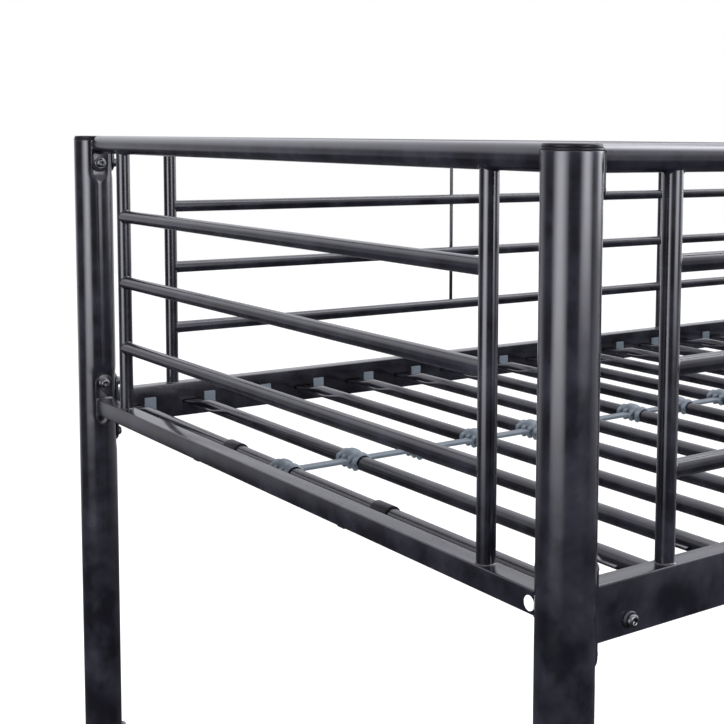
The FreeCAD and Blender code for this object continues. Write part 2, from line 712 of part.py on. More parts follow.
def make_clip_strip(level):
    """One moulded strip along the bed: a ribbed saddle on every slat and straps between them."""
    axis = AXES[level]
    name = f"{level}_clip_strip"
    saddle = shell_over_slat(f"{name}_saddle", "strip_shell", "strip_saddle", "strip_wrap")
    rib = shell_over_slat(f"{name}_rib", "(strip_shell + strip_rib)", "strip_thick", "rib_wrap")
    steps = [f"({n} / {STRIP_RIBS - 1} - 0.5) * (strip_saddle - strip_thick)" for n in range(STRIP_RIBS)]
    solid = fuse(f"{name}_solid", [saddle, copies(f"{name}_ribs", rib, [("0", step) for step in steps])])
    hollow = cylinder(f"{name}_hollow", "slat_dia", "2 * strip_saddle")
    put(hollow, y="-strip_saddle", turn=ALONG["+y"])
    knuckle = cut(f"{name}_knuckle", solid, hollow)
    centres = [x for _, x in slat_places()]
    ordered = centres[:SLATS_PER_HALF] + centres[:SLATS_PER_HALF - 1:-1]
    shell_out = "(slat_dia / 2 + strip_root)"
    straps = []
    for number in range(len(ordered) - 1):
        here, there = ordered[number], ordered[number + 1]
        strap = box(
            f"{name}_strap", f"{there} - {here} - 2 * {shell_out}", "strip_width", "strip_thick",
            f"{here} + {shell_out}", "-strip_width / 2", "-strip_thick / 2",
        )
        straps.append(strap)
    saddles = copies(f"{name}_saddles", knuckle, [(x,) for x in centres])
    strip = fuse(name, [saddles] + straps)
    put(strip, "0", "bed_offset_y + strip_shift", f"{axis} - slat_drop")


def make_end_clips():
    """Clips that hold the first and last slats to the end rails, with their screws."""
    sink = "(end_rail_drop + end_rail_size - slat_drop)"
    shell = shell_over_slat("end_clip_shell", "clip_shell", "clip_length", "clip_wrap")
    arm = box(
        "end_clip_arm", "slat_start + clip_arm_end", "clip_arm_width", "clip_shell",
        "-slat_start - clip_arm_end", "-clip_arm_width / 2", f"-{sink} - clip_shell",
    )
    solid = fuse("end_clip_solid", [shell, arm])
    hollow = cylinder("end_clip_hollow", "slat_dia", "2 * clip_length")
    put(hollow, y="-clip_length", turn=ALONG["+y"])
    hole = cylinder("end_clip_hole", "screw_dia", "slat_dia")
    put(hole, "-slat_start + clip_screw_inset", z="-slat_dia")
    clip = cut("end_clip", solid, group("end_clip_tools", [hollow, hole]))
    screw = turned("clip_screw", [
        ("0", "-screw_head_height"), ("screw_head_flat", "-screw_head_height"),
        ("screw_head_dia / 2", "-screw_head_side"), ("screw_head_dia / 2", "0"),
        ("screw_dia / 2", "0"), ("screw_dia / 2", "screw_length"), ("0", "screw_length"),
    ])
    clips = []
    screws = []
    for axis in AXES.values():
        for side in (-1, 1):
            turn = ALONG["+z"] if side < 0 else HALF_TURN
            for share in (1, 2):
                y = f"bed_offset_y + ({share} / 3 - 0.5) * post_pitch_y"
                clips.append((f"{side} * (post_pitch_x / 2 - slat_start)", y, f"{axis} - slat_drop", turn))
                x = f"{side} * (post_pitch_x / 2 - clip_screw_inset)"
                screws.append((x, y, f"{axis} - end_rail_drop - end_rail_size - clip_shell"))
    copies("end_slat_clips", clip, clips)
    copies("end_slat_clip_screws", screw, screws)


# ---- plates and fasteners ----


def make_plate(name, low, high, rounded):
    """A flat plate facing +X on a post's flat, with its rounded ends named low or high."""
    parts = []
    base = f"({low})" + (" + plate_width / 2" if "low" in rounded else "")
    crown = f"({high})" + (" - plate_width / 2" if "high" in rounded else "")
    body = box(f"{name}_web", "plate_thick", "plate_width", f"({crown}) - ({base})",
               "post_flat", "-plate_width / 2", base)
    parts.append(body)
    for end, height in (("low", base), ("high", crown)):
        if end in rounded:
            disc = cylinder(f"{name}_{end}", "plate_width", "plate_thick")
            parts.append(put(disc, "post_flat", "0", height, ALONG["+x"]))
    return fuse(f"{name}_blank", parts)


def drilled(name, blank, heights):
    drills = []
    for number, height in enumerate(heights):
        drill = cylinder(f"{name}_drill_{number}", "plate_hole", "post_dia")
        drills.append(put(drill, "0", "0", height, ALONG["+x"]))
    return cut(name, blank, group(f"{name}_drills", drills))


def facing_turn(post, axis):
    """Turn a piece that faces +X to face inwards from this post along X or Y."""
    angle = {"+x": 0, "+y": 90, "-x": 180, "-y": 270}[post.facing(axis)]
    return Rotation(Vector(0, 0, 1), angle)


def make_plates():
    top = make_plate("top_plate", "-top_plate_drop", "rail_dia / 2 - cap_height", ["low"])
    top = drilled("top_plate", top, ["-top_bolt_drop"])
    end_low = "-end_rail_drop - end_rail_size"
    end = make_plate("end_plate", end_low, f"-{END_BOLT_DROP} + plate_width / 2", ["high"])
    end = drilled("end_plate", end, [f"-{END_BOLT_DROP}"])
    tops = []
    ends = []
    for level, axis in AXES.items():
        for post in POSTS:
            tops.append((post.x, post.y, axis, facing_turn(post, "y")))
            ends.append((post.x, post.y, axis, facing_turn(post, "y")))
            if level == "upper" and has_guard(post):
                tops.append((post.x, post.y, axis, facing_turn(post, "x")))
    copies("top_rail_plates", top, tops)
    copies("end_rail_plates", end, ends)


def make_side_brackets():
    """A plate on the post and a strip inside the side rail, against its outer wall."""
    half = "side_plate_height / 2"
    strips = {}
    for hand in (-1, 1):
        name = f"bracket_{'a' if hand < 0 else 'b'}"
        plate = make_plate(name, f"-{half}", half, ["low", "high"])
        plate = drilled(f"{name}_plate", plate, ["side_bolt_rise", "-side_bolt_rise"])
        outer = "side_rail_width / 2 - post_wall"
        y = f"{outer} - plate_thick" if hand > 0 else f"-({outer})"
        strip = box(f"{name}_strip", "hanger_length", "plate_thick", "hanger_height",
                    FACE, y, "-hanger_height / 2")
        drill = cylinder(f"{name}_nut_hole", "nut_dia", "side_rail_width")
        put(drill, "hanger_bolt_inset", "0", "-hanger_bolt_drop", ALONG["+y" if hand > 0 else "-y"])
        strips[hand] = fuse(name, [plate, cut(f"{name}_drilled_strip", strip, drill)])
    links = []
    for axis in AXES.values():
        for post in POSTS:
            # Seen along its own +X, the outer wall is on the left at two posts and on the right at two.
            master = strips[post.depth * -post.side]
            place = (post.x, post.y, f"{axis} - {SIDE_RAIL_DROP}", facing_turn(post, "x"))
            links.append(copy_of(master, "bracket", place))
    group("side_rail_brackets", links)


def make_bolt():
    """A button head bolt with a hex socket, its seat at z = 0 under the washer."""
    rise = "washer_thick"
    head = "bolt_head_dia / 2"
    tip = f"{rise} - bolt_length"
    top = f"{rise} + bolt_head_height"
    body = turned("bolt", [
        ("0", tip), ("bolt_dia / 2 - bolt_tip", tip), ("bolt_dia / 2", f"{tip} + bolt_tip"),
        ("bolt_dia / 2", rise), (head, rise), (head, f"{rise} + bolt_head_side"),
        ("bolt_head_corner", f"{rise} + bolt_head_shoulder"), ("bolt_head_flat", top), ("0", top),
    ])
    socket = sketch_on(body, "XY_Plane", top)
    half_side = "bolt_socket / (4 * cos(30))"
    polygon(socket, [(f"{across} * {half_side}", f"{up} * bolt_socket / 2") for across, up in HEXAGON])
    feature(body, "Pocket", socket, Length="bolt_socket_depth")
    return body


def make_fasteners():
    """Bolts, washers and insert nuts: the same three pieces at every bolted joint."""
    bolts = []
    nuts = []
    for level, axis in AXES.items():
        for post in POSTS:
            for face, height, seat in post_bolts(post, level):
                turn = ALONG[post.facing(face)]
                bolts.append((*post.spot(face, seat), height, turn))
                nut_face = "post_flat" if seat == FACE else "sleeve_dia / 2"
                nuts.append((*post.spot(face, f"{nut_face} - nut_length"), height, turn))
            outward = "-y" if post.depth < 0 else "+y"
            x = f"{post.side} * (post_pitch_x / 2 - hanger_bolt_inset)"
            height = f"{axis} - {SIDE_RAIL_DROP} - hanger_bolt_drop"
            seat = f"{post.y} + ({post.depth}) * side_rail_width / 2"
            nut_end = f"{post.y} + ({post.depth}) * (side_rail_width / 2 - post_wall - nut_length)"
            bolts.append((x, seat, height, ALONG[outward]))
            nuts.append((x, nut_end, height, ALONG[outward]))
    washer = tube("washer", "washer_dia", "(washer_dia - bolt_dia) / 2", "washer_thick")
    nut = tube("insert_nut", "nut_dia", "(nut_dia - bolt_dia) / 2", "nut_length")
    copies("frame_bolts", make_bolt(), bolts)
    copies("bolt_washers", washer, bolts)
    copies("insert_nuts", nut, nuts)


def make_disc():
    disc = cylinder("blank_sticker", "disc_dia", "disc_thick")
    x = "-post_pitch_x / 2 - end_rail_size / 2"
    y = "bed_offset_y - post_pitch_y / 2 + disc_inset"
    put(disc, x, y, f"{UPPER} - end_rail_drop - disc_drop", ALONG["-x"])


# ---- ladder ----

LEAN = Rotation(Vector(1, 0, 0), -SIZES["ladder_lean"][0])
LEAN_Y = "(bed_offset_y - ladder_foot_y)"
STILES = (("left", -1), ("right", 1))


def stile_x(side):
    return f"({LADDER_X} + ({side}) * ladder_width / 2)"


def make_ladder():
    """Two leaning stiles with coped rungs, rubber feet, end caps and hooks over the side rail."""
    for hand, side in STILES:
        blank = tube(f"ladder_{hand}_stile", "ladder_tube_dia", "post_wall",
                     "ladder_length - ladder_foot_pad")
        rise_y = f"{LEAN_Y} + ladder_foot_pad * sin(ladder_lean)"
        rise_z = "ladder_foot_pad * cos(ladder_lean)"
        put(blank, stile_x(side), rise_y, rise_z, LEAN)

    rung = tube("rung_blank", "rung_dia", "post_wall", "ladder_width")
    tools = []
    for number, reach in enumerate(("0", "ladder_width")):
        tool = cylinder(f"rung_cope_{number}", "ladder_tube_dia", "4 * rung_dia")
        tools.append(put(tool, "-2 * rung_dia", "0", reach, ALONG["+x"]))
    rung = cut("rung", rung, group("rung_copes", tools))
    # The coping tools follow the stiles, so the lean is added about the rung's own axis.
    turn = LEAN.multiply(ALONG["+x"])
    steps = []
    for number in range(1, RUNGS + 1):
        reach = f"{number} * rung_pitch"
        y = f"{LEAN_Y} + {reach} * sin(ladder_lean)"
        steps.append((stile_x(-1), y, f"{reach} * cos(ladder_lean)", turn))
    copies("ladder_rungs", rung, steps)
    make_ladder_ends()
    make_hooks()


def make_ladder_ends():
    foot = cylinder("ladder_foot_blank", "ladder_foot_dia", "ladder_foot_length + ladder_foot_dia")
    start = "(-ladder_foot_dia)"
    put(foot, "0", f"{start} * sin(ladder_lean)", f"{start} * cos(ladder_lean)", LEAN)
    bore = cylinder("ladder_foot_bore", "ladder_tube_dia", "ladder_length")
    put(bore, "0", "ladder_foot_pad * sin(ladder_lean)", "ladder_foot_pad * cos(ladder_lean)", LEAN)
    wide = "4 * ladder_foot_dia"
    floor = box("ladder_foot_floor", wide, wide, wide, f"-{wide} / 2", f"-{wide} / 2", f"-{wide}")
    shaped = cut("ladder_foot", foot, group("ladder_foot_tools", [bore, floor]))
    copies("ladder_feet", shaped, [(stile_x(side), LEAN_Y) for _, side in STILES])

    plug = "(ladder_tube_dia / 2 - post_wall - plug_gap)"
    edge = "ladder_tube_dia / 2"
    cap = turned("ladder_cap", [
        ("0", "-plug_depth"), (plug, "-plug_depth"), (plug, "0"), (edge, "0"), (edge, "ladder_cap_edge"),
        (f"{edge} - ladder_cap_edge", "ladder_cap_height"), ("0", "ladder_cap_height"),
    ])
    reach = "ladder_length"
    y = f"{LEAN_Y} + {reach} * sin(ladder_lean)"
    z = f"{reach} * cos(ladder_lean)"
    copies("ladder_caps", cap, [(stile_x(side), y, z, LEAN) for _, side in STILES])


def make_hooks():
    """Flat bars welded to the backs of the stiles, bent over the upper side rail."""
    body = make_body("hook_bar")
    sketch = sketch_on(body, "YZ_Plane", "-hook_width / 2")
    near = "(side_rail_width / 2 + hook_gap)"
    seat = "hook_seat_gap"
    far = f"({near} + hook_thick)"
    front = f"({far} + ladder_tube_dia)"
    polygon(sketch, [
        (f"-{front}", f"{seat} + hook_thick"), (far, f"{seat} + hook_thick"), (far, f"{seat} - hook_drop"),
        (near, f"{seat} - hook_drop"), (near, seat), (f"-{near}", seat),
        (f"-{near}", f"{seat} - hook_leg"), (f"-{front}", f"{seat} - hook_leg"),
    ])
    feature(body, "Pad", sketch, Length="hook_width")
    rail_top = f"({UPPER} - side_rail_drop)"
    deep = "4 * ladder_tube_dia"
    in_front = box("hook_trim", "2 * hook_width", deep, "ladder_length + 4 * hook_leg")
    put(in_front, "-hook_width", f"{LEAN_Y} - {FRONT_Y} - {deep} * cos(ladder_lean)",
        f"-{rail_top} + {deep} * sin(ladder_lean)", LEAN)
    stile = cylinder("hook_stile", "ladder_tube_dia", "ladder_length + hook_leg")
    put(stile, "0", f"{LEAN_Y} - {FRONT_Y}", f"-{rail_top}", LEAN)
    hook = cut("hook", body, group("hook_tools", [stile, in_front]))
    copies("ladder_hooks", hook, [(stile_x(side), FRONT_Y, rail_top) for _, side in STILES])


# ---- the whole bed ----


def make_bunks():
    slat = make_slat()
    for level, axis in AXES.items():
        for side in (-1, 1):
            make_end(level, side)
        for depth in (-1, 1):
            make_side_rail(level, depth)
        copies(f"{level}_slats", slat, [(x, "bed_offset_y", f"{axis} - slat_drop") for _, x in slat_places()])
        make_clip_strip(level)
        make_plugs(level)


NODES = (
    [f"{level}_post_{post.name}" for level in AXES for post in POSTS]
    + ["post_top_caps", "post_foot_caps", "post_joint_sleeves"]
    + [f"{level}_{hand}_end_{piece}" for level in AXES for hand in ("left", "right")
       for piece in ("top_rail", "bottom_rail", "uprights", "bars")]
    + [f"{side}_guard_{piece}" for side in ("back", "front")
       for piece in ("top_rail", "uprights", "bars", "rods")]
    + [f"{level}_{side}_side_rail" for level in AXES for side in ("front", "back")]
    + [f"{level}_{piece}" for level in AXES for piece in ("slats", "clip_strip", "slat_plugs")]
    + ["end_slat_clips", "end_slat_clip_screws"]
    + ["top_rail_plates", "end_rail_plates", "side_rail_brackets"]
    + ["frame_bolts", "bolt_washers", "insert_nuts", "blank_sticker"]
    + ["ladder_left_stile", "ladder_right_stile", "ladder_rungs"]
    + ["ladder_feet", "ladder_caps", "ladder_hooks"]
)


def check_objects():
    """Stop on any object that failed, or a pocket that removed nothing."""
    for item in doc.Objects:
        if "Invalid" in item.State or "Error" in item.State:
            raise RuntimeError(f"{item.Label}: {item.State}")
        if item.TypeId == "PartDesign::Pocket" and item.Shape.Volume >= item.BaseFeature.Shape.Volume:
            raise RuntimeError(f"{item.Label} cut nothing")


def export():
    os.makedirs("parts", exist_ok=True)
    for name in NODES:
        shape = doc.getObject(name).Shape
        if shape.isNull() or not shape.isValid() or not shape.Solids:
            raise RuntimeError(f"{name} has no valid shape")
        shape.exportStep(f"parts/{name}.step")


def main():
    make_sheet()
    for level in AXES:
        for post in POSTS:
            make_post(post, level)
    make_post_ends()
    make_bunks()
    make_guards()
    make_end_clips()
    make_plates()
    make_side_brackets()
    make_fasteners()
    make_disc()
    make_ladder()
    doc.recompute()
    check_objects()
    export()


main()
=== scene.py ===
import math

import bmesh
import bpy
import numpy as np
from mathutils import Matrix, Vector


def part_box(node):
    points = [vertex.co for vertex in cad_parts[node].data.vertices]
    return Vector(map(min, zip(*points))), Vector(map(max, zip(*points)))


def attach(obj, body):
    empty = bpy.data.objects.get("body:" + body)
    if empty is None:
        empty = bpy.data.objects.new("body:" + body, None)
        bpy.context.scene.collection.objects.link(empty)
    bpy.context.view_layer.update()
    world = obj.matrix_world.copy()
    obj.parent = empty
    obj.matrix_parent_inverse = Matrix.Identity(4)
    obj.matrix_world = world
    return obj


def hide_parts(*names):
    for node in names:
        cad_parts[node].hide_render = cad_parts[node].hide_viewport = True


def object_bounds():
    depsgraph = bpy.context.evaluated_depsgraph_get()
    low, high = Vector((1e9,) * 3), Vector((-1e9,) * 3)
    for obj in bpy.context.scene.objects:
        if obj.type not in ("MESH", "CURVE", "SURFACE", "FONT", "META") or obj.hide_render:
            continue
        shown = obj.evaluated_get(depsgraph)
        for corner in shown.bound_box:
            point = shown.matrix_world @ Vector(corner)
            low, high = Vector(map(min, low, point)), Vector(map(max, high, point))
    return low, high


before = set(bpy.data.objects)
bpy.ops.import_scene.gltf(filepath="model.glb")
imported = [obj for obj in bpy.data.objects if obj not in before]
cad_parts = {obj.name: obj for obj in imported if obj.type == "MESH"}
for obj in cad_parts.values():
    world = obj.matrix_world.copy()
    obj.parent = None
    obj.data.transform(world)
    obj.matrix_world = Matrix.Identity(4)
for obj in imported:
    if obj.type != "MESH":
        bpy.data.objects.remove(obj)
CAD_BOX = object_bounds()
RNG = np.random.default_rng(11)

# Sizes are in metres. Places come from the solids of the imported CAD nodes.
MM = 0.001
X, Y, Z = np.eye(3)

POST_FLAT = 20.5 * MM
FLAT_BLEND = 17 * MM
FLAT_SOFT = 1.6 * MM
WALL = 1.5 * MM
RAIL_CORNER = 1.7 * MM
PLATE_THICK = 3 * MM
PLATE_EDGE = 0.6 * MM
CAP_HEIGHT = 5.5 * MM
CAP_RIM = 2 * MM
CAP_ROUND = 1.6 * MM
CAP_PLUG_INSET = 2.8 * MM
FOOT_HEIGHT = 6 * MM
SINK = 0.25 * MM
TONGUE_WIDTH = 25 * MM
TONGUE_THICK = 4 * MM
TONGUE_SINK = 2 * MM
TONGUE_LENGTH = 10 * MM
TONGUE_DEPTH = 8 * MM
BACK_TAPER = 48 * MM
FRONT_TAPER = 24 * MM
SLAT_RADIUS = 8 * MM
SLOT_GAP = 0.5 * MM
PLUG_STEM = 8 * MM
PLUG_PLATE = 3 * MM
WELD = 1.1 * MM
# How deep a weld starts inside the metal, and how far its edges stand off the surface.
WELD_ROOT = 0.5 * MM
WELD_GAP = 0.02 * MM
BAR_WELD = 0.8 * MM
GUARD_BEND = 60 * MM
STILE_RADIUS = 12.5 * MM
RUNG_RADIUS = 11 * MM
TUBE_SIDES = 40
RAIL_SIDES = 64
WELD_SIDES = 72
BAR_WELD_SIDES = 56
POST_SIDES = 112
BOLT_SIDES = 36
# The most that two rings of a straight bar are apart.
BAR_STEP = 0.15
TINY = 1e-6
CREASE = math.radians(38)


# ---- the CAD's solids ----


def solids(node):
    """The points of each separate solid of a CAD node, sorted by their middles."""
    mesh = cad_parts[node].data
    places = np.array([v.co for v in mesh.vertices])
    places, owner = np.unique(np.round(places, 6), axis=0, return_inverse=True)
    owner = owner.ravel()
    parent = np.arange(len(places))

    def root(i):
        while parent[i] != i:
            parent[i] = parent[parent[i]]
            i = parent[i]
        return i

    for edge in mesh.edges:
        a, b = root(owner[edge.vertices[0]]), root(owner[edge.vertices[1]])
        parent[max(a, b)] = min(a, b)
    roots = np.array([root(i) for i in range(len(places))])
    found = [places[roots == r] for r in np.unique(roots)]
    return sorted(found, key=lambda points: tuple(np.round((points.min(0) + points.max(0)) / 2, 4)))


class Block:
    """The box of one solid: its low and high corners, middle and size."""

    def __init__(self, points):
        self.points = points
        self.low = points.min(0)
        self.high = points.max(0)
        self.middle = (self.low + self.high) / 2
        self.size = self.high - self.low


def blocks(node):
    return [Block(points) for points in solids(node)]


# ---- mesh building ----


class Shape:
    """Points and faces gathered for one piece."""

    def __init__(self):
        self.points = []
        self.faces = []
        self.count = 0

    def add(self, points, faces):
        points = np.asarray(points, float).reshape(-1, 3)
        self.points.append(points)
        self.faces += [[i + self.count for i in face] for face in faces]
        self.count += len(points)


def loft(shape, rings, closed=False):
    """A skin through rings of points. It has a face at each end unless it closes on itself."""
    rings = np.asarray(rings)
    rows, columns = rings.shape[:2]
    faces = []
    for i in range(rows if closed else rows - 1):
        here, after = i * columns, (i + 1) % rows * columns
        for j in range(columns):
            k = (j + 1) % columns
            faces.append([here + j, here + k, after + k, after + j])
    if not closed:
        faces.append(list(range(columns))[::-1])
        faces.append([(rows - 1) * columns + j for j in range(columns)])
    shape.add(rings, faces)


def thick(shape, outer, inner, keep=None):
    """A wall between two sets of rings, open where keep is False."""
    rows, columns = outer.shape[:2]
    if keep is None:
        keep = np.ones((rows - 1, columns), bool)
    layer = rows * columns
    faces = []

    def at(i, j, side):
        return side * layer + i * columns + j % columns

    for i in range(rows):
        for j in range(columns):
            here = i < rows - 1 and keep[i, j]
            before = i > 0 and keep[i - 1, j]
            if here:
                for side in (0, 1):
                    faces.append([at(i, j, side), at(i, j + 1, side),
                                  at(i + 1, j + 1, side), at(i + 1, j, side)])
            if here != before:
                faces.append([at(i, j, 0), at(i, j + 1, 0), at(i, j + 1, 1), at(i, j, 1)])
            if i < rows - 1 and here != keep[i, j - 1]:
                faces.append([at(i, j, 0), at(i + 1, j, 0), at(i + 1, j, 1), at(i, j, 1)])
    shape.add(np.concatenate([outer.reshape(-1, 3), inner.reshape(-1, 3)]), faces)


def unit(v):
    v = np.asarray(v, float)
    return v / np.linalg.norm(v)


def across(along):
    """Two directions square to a third."""
    along = unit(along)
    side = np.cross(Z, along) if abs(along[2]) < 0.9 else np.cross(Y, along)
    side = unit(side)
    return side, np.cross(along, side)


def angles(count):
    """Even steps round a full turn."""
    return np.arange(count) * 2 * math.pi / count


def moved(point, number, value):
    """A copy of a point with one coordinate changed."""
    made = np.array(point, float)
    made[number] = value
    return made


def steps_from(radius, height, moves):
    """Outline points, from moves in millimetres away from a radius and a height."""
    return [(radius + out * MM, height + up * MM) for out, up in moves]


def circle(radius, count):
    turn = angles(count)
    return np.stack([np.cos(turn), np.sin(turn)], 1) * radius


def rounded(width, height, corner, steps=5):
    """A rounded rectangle as a loop of points."""
    loop = []
    for number, (sx, sy) in enumerate(((1, 1), (-1, 1), (-1, -1), (1, -1))):
        for step in range(steps + 1):
            turn = (number + step / steps) * math.pi / 2
            loop.append((
                sx * (width / 2 - corner) + math.cos(turn) * corner,
                sy * (height / 2 - corner) + math.sin(turn) * corner,
            ))
    return np.array(loop)


def ring(centre, side, up, loop):
    return np.asarray(centre) + loop[:, :1] * side + loop[:, 1:] * up


def turned(shape, centre, axis, outline, sides):
    """A solid turned about an axis from radius and height pairs."""
    side, up = across(axis)
    axis = unit(axis)
    loop = circle(1, sides)
    loft(shape, [ring(centre + axis * h, side, up, loop * max(r, 1e-5)) for r, h in outline])


def soft_steps(radius):
    """Small moves round a quarter of an edge, as in and along distances."""
    turns = np.linspace(0, math.pi / 2, 4)
    return [(radius * (1 - math.sin(t)), radius * (1 - math.cos(t))) for t in turns]


def offset(loop, distance):
    """Move a convex loop inwards."""
    before = loop - np.roll(loop, 1, 0)
    after = np.roll(loop, -1, 0) - loop
    ways = []
    for a, b in zip(before, after):
        way = unit(a) + unit(b)
        normal = unit([way[1], -way[0]])
        ways.append(normal / max(0.5, float(np.dot(normal, unit([b[1], -b[0]])))))
    return loop - np.array(ways) * distance


def slab(shape, centre, side, up, loop, thickness, edge):
    """A plate with softened edges: an outline swept along its thickness."""
    along = np.cross(side, up)
    steps = soft_steps(edge)
    levels = [(step, inset) for inset, step in steps]
    levels += [(thickness - step, inset) for inset, step in steps[::-1]]
    loft(shape, [ring(centre + along * level, side, up, offset(loop, inset)) for level, inset in levels])


def bar(shape, start, end, loop, cope_start=None, cope_end=None, edge=0.0):
    """A straight bar. A cope is the radius and axis of the round tube that an end meets."""
    start, end = np.asarray(start, float), np.asarray(end, float)
    along = unit(end - start)
    length = np.linalg.norm(end - start)
    side, up = across(along)
    points = ring(np.zeros(3), side, up, loop)

    def reach(cope):
        if cope is None:
            return np.zeros(len(loop))
        radius, axis = cope
        sideways = points @ np.cross(along, unit(axis))
        return np.sqrt(np.maximum(radius**2 - sideways**2, 0)) - SINK

    def eased(place, sign):
        """The rings of a softened edge, from the end inwards."""
        made = []
        for inset, step in soft_steps(edge)[:-1]:
            flat = ring(np.zeros(3), side, up, offset(loop, inset))
            made.append(start + flat + (place + sign * step)[:, None] * along)
        return made

    first, last = reach(cope_start), length - reach(cope_end)
    rings = eased(first, 1) if edge else []
    for share in np.linspace(0, 1, max(2, int(length / BAR_STEP) + 2)):
        into = edge * (1 - 2 * share)
        rings.append(start + points + (first + (last - first) * share + into)[:, None] * along)
    if edge:
        rings += eased(last, -1)[::-1]
    loft(shape, rings)


# ---- welds ----


def ripple(count, strength):
    """An uneven line round a weld, about 1."""
    turn = angles(count)
    line = np.ones(count)
    for waves in (2, 3, 5, 9, 14):
        line += strength * RNG.normal() / math.sqrt(waves) * np.cos(waves * turn + RNG.uniform(0, 6.3))
    return np.clip(line, 0.45, 1.7)


def bead(shape, root, on_bar, on_host, outwards, swell):
    """A closed weld between two surfaces, with an arched section."""
    middle = (on_bar + on_host) / 2
    quarter = (on_bar + middle) / 2
    late = (on_host + middle) / 2
    rise = swell[:, None] * outwards
    sections = [root, on_bar, quarter + 0.75 * rise, middle + rise, late + 0.75 * rise, on_host]
    loft(shape, np.stack(sections, 1), closed=True)


def weld_tube(shape, centre, along, radius, host_axis, host_radius, size=WELD, strength=0.16):
    """The weld where a round bar meets a round tube. The centre is where their axes cross."""
    along, host = unit(along), unit(host_axis)
    tangent = np.cross(along, host)
    sine, cosine = np.sin(angles(BAR_WELD_SIDES)), np.cos(angles(BAR_WELD_SIDES))
    width = size * ripple(BAR_WELD_SIDES, strength)
    normal = cosine[:, None] * host + sine[:, None] * tangent

    def on_host(extra):
        around = np.arcsin(np.clip(radius * sine / host_radius, -1, 1)) + extra * sine / host_radius
        height = radius * cosine + extra * cosine
        out = np.cos(around)[:, None] * along + np.sin(around)[:, None] * tangent
        return centre + out * host_radius + height[:, None] * host, out

    rim, _ = on_host(0)
    far, far_out = on_host(width)
    depth = (rim - centre) @ along
    near = centre + normal * (radius + WELD_GAP) + (depth + width)[:, None] * along
    outwards = normal + far_out
    outwards /= np.linalg.norm(outwards, axis=1)[:, None]
    root = rim - outwards * WELD_ROOT
    swell = 0.12 * width * ripple(BAR_WELD_SIDES, strength)
    bead(shape, root, near, far + far_out * WELD_GAP, outwards, swell)


def weld_flat(shape, centre, along, loop, size=WELD, strength=0.16, plate=None):
    """The weld round a bar that stands on a flat face. The centre is on the face.

    A plate is its half width and its low and high ends from the centre: the weld stays on it.
    """
    along = unit(along)
    side, up = across(along)
    width = size * ripple(len(loop), strength)
    ways = []
    for a, b in zip(np.roll(loop, 1, 0), np.roll(loop, -1, 0)):
        ways.append(unit([(b - a)[1], -(b - a)[0]]))
    ways = np.array(ways)
    normal = ways[:, :1] * side + ways[:, 1:] * up
    rim = ring(centre, side, up, loop)
    if plate is not None:
        half, low, high = plate
        level = up[2] * loop[:, 1]
        rise = up[2] * ways[:, 1]
        room = (half - np.abs(loop[:, 0])) / np.maximum(np.abs(ways[:, 0]), 0.05)
        room = np.minimum(room, np.where(rise > 0, high - level, level - low) / np.maximum(np.abs(rise), 0.05))
        width = np.minimum(width, np.maximum(room, 0.04 * MM))
    near = rim + normal * WELD_GAP + width[:, None] * along
    far = rim + normal * width[:, None] + along * WELD_GAP
    outwards = (normal + along) / math.sqrt(2)
    swell = 0.12 * width * ripple(len(loop), strength)
    bead(shape, rim - outwards * WELD_ROOT, near, far, outwards, swell)


def spatter(shape, centre, spread, count, size):
    """Small round drops of weld metal about a point."""
    for _ in range(count):
        place = centre + RNG.normal(0, 1, 3) * spread
        radius = size * RNG.uniform(0.5, 1.4)
        outline = [(radius * math.sin(t), -radius * math.cos(t)) for t in np.linspace(0, math.pi, 6)]
        turned(shape, place, RNG.normal(0, 1, 3), outline, 8)


# ---- materials ----


class Nodes:
    """Builds a node tree with short calls."""

    def __init__(self, tree):
        self.tree = tree

    def add(self, kind, **values):
        node = self.tree.nodes.new(kind)
        for name, value in values.items():
            if name in node.inputs:
                if isinstance(value, bpy.types.NodeSocket):
                    self.tree.links.new(value, node.inputs[name])
                else:
                    node.inputs[name].default_value = value
            else:
                setattr(node, name, value)
        return node

    def link(self, source, target):
        self.tree.links.new(source, target)


def noise(nodes, place, scale, detail, rough):
    made = nodes.add("ShaderNodeTexNoise", Scale=scale, Detail=detail, Roughness=rough)
    nodes.link(place, made.inputs["Vector"])
    return made.outputs["Fac"]


def remap(nodes, value, low, high, to_low, to_high, kind="LINEAR"):
    made = nodes.add("ShaderNodeMapRange", interpolation_type=kind)
    for name, number in (("From Min", low), ("From Max", high), ("To Min", to_low), ("To Max", to_high)):
        made.inputs[name].default_value = number
    nodes.link(value, made.inputs["Value"])
    return made.outputs["Result"]


def combine(nodes, operation, first, second):
    made = nodes.add("ShaderNodeMath", operation=operation)
    nodes.link(first, made.inputs[0])
    nodes.link(second, made.inputs[1])
    return made.outputs[0]


def blend(nodes, factor, first, second):
    made = nodes.add("ShaderNodeMix", data_type="RGBA")
    nodes.link(factor, made.inputs["Factor"])
    made.inputs[6].default_value = (*first, 1)
    made.inputs[7].default_value = (*second, 1)
    return made.outputs[2]


def bump(nodes, height, distance, strength=1.0, normal=None):
    made = nodes.add("ShaderNodeBump", Strength=strength, Distance=distance)
    nodes.link(height, made.inputs["Height"])
    if normal is not None:
        nodes.link(normal, made.inputs["Normal"])
    return made.outputs["Normal"]


def new_material(name):
    material = bpy.data.materials.new(name)
    material.use_nodes = True
    nodes = Nodes(material.node_tree)
    shader = material.node_tree.nodes["Principled BSDF"]
    place = nodes.add("ShaderNodeTexCoord").outputs["Object"]
    return material, nodes, shader, place


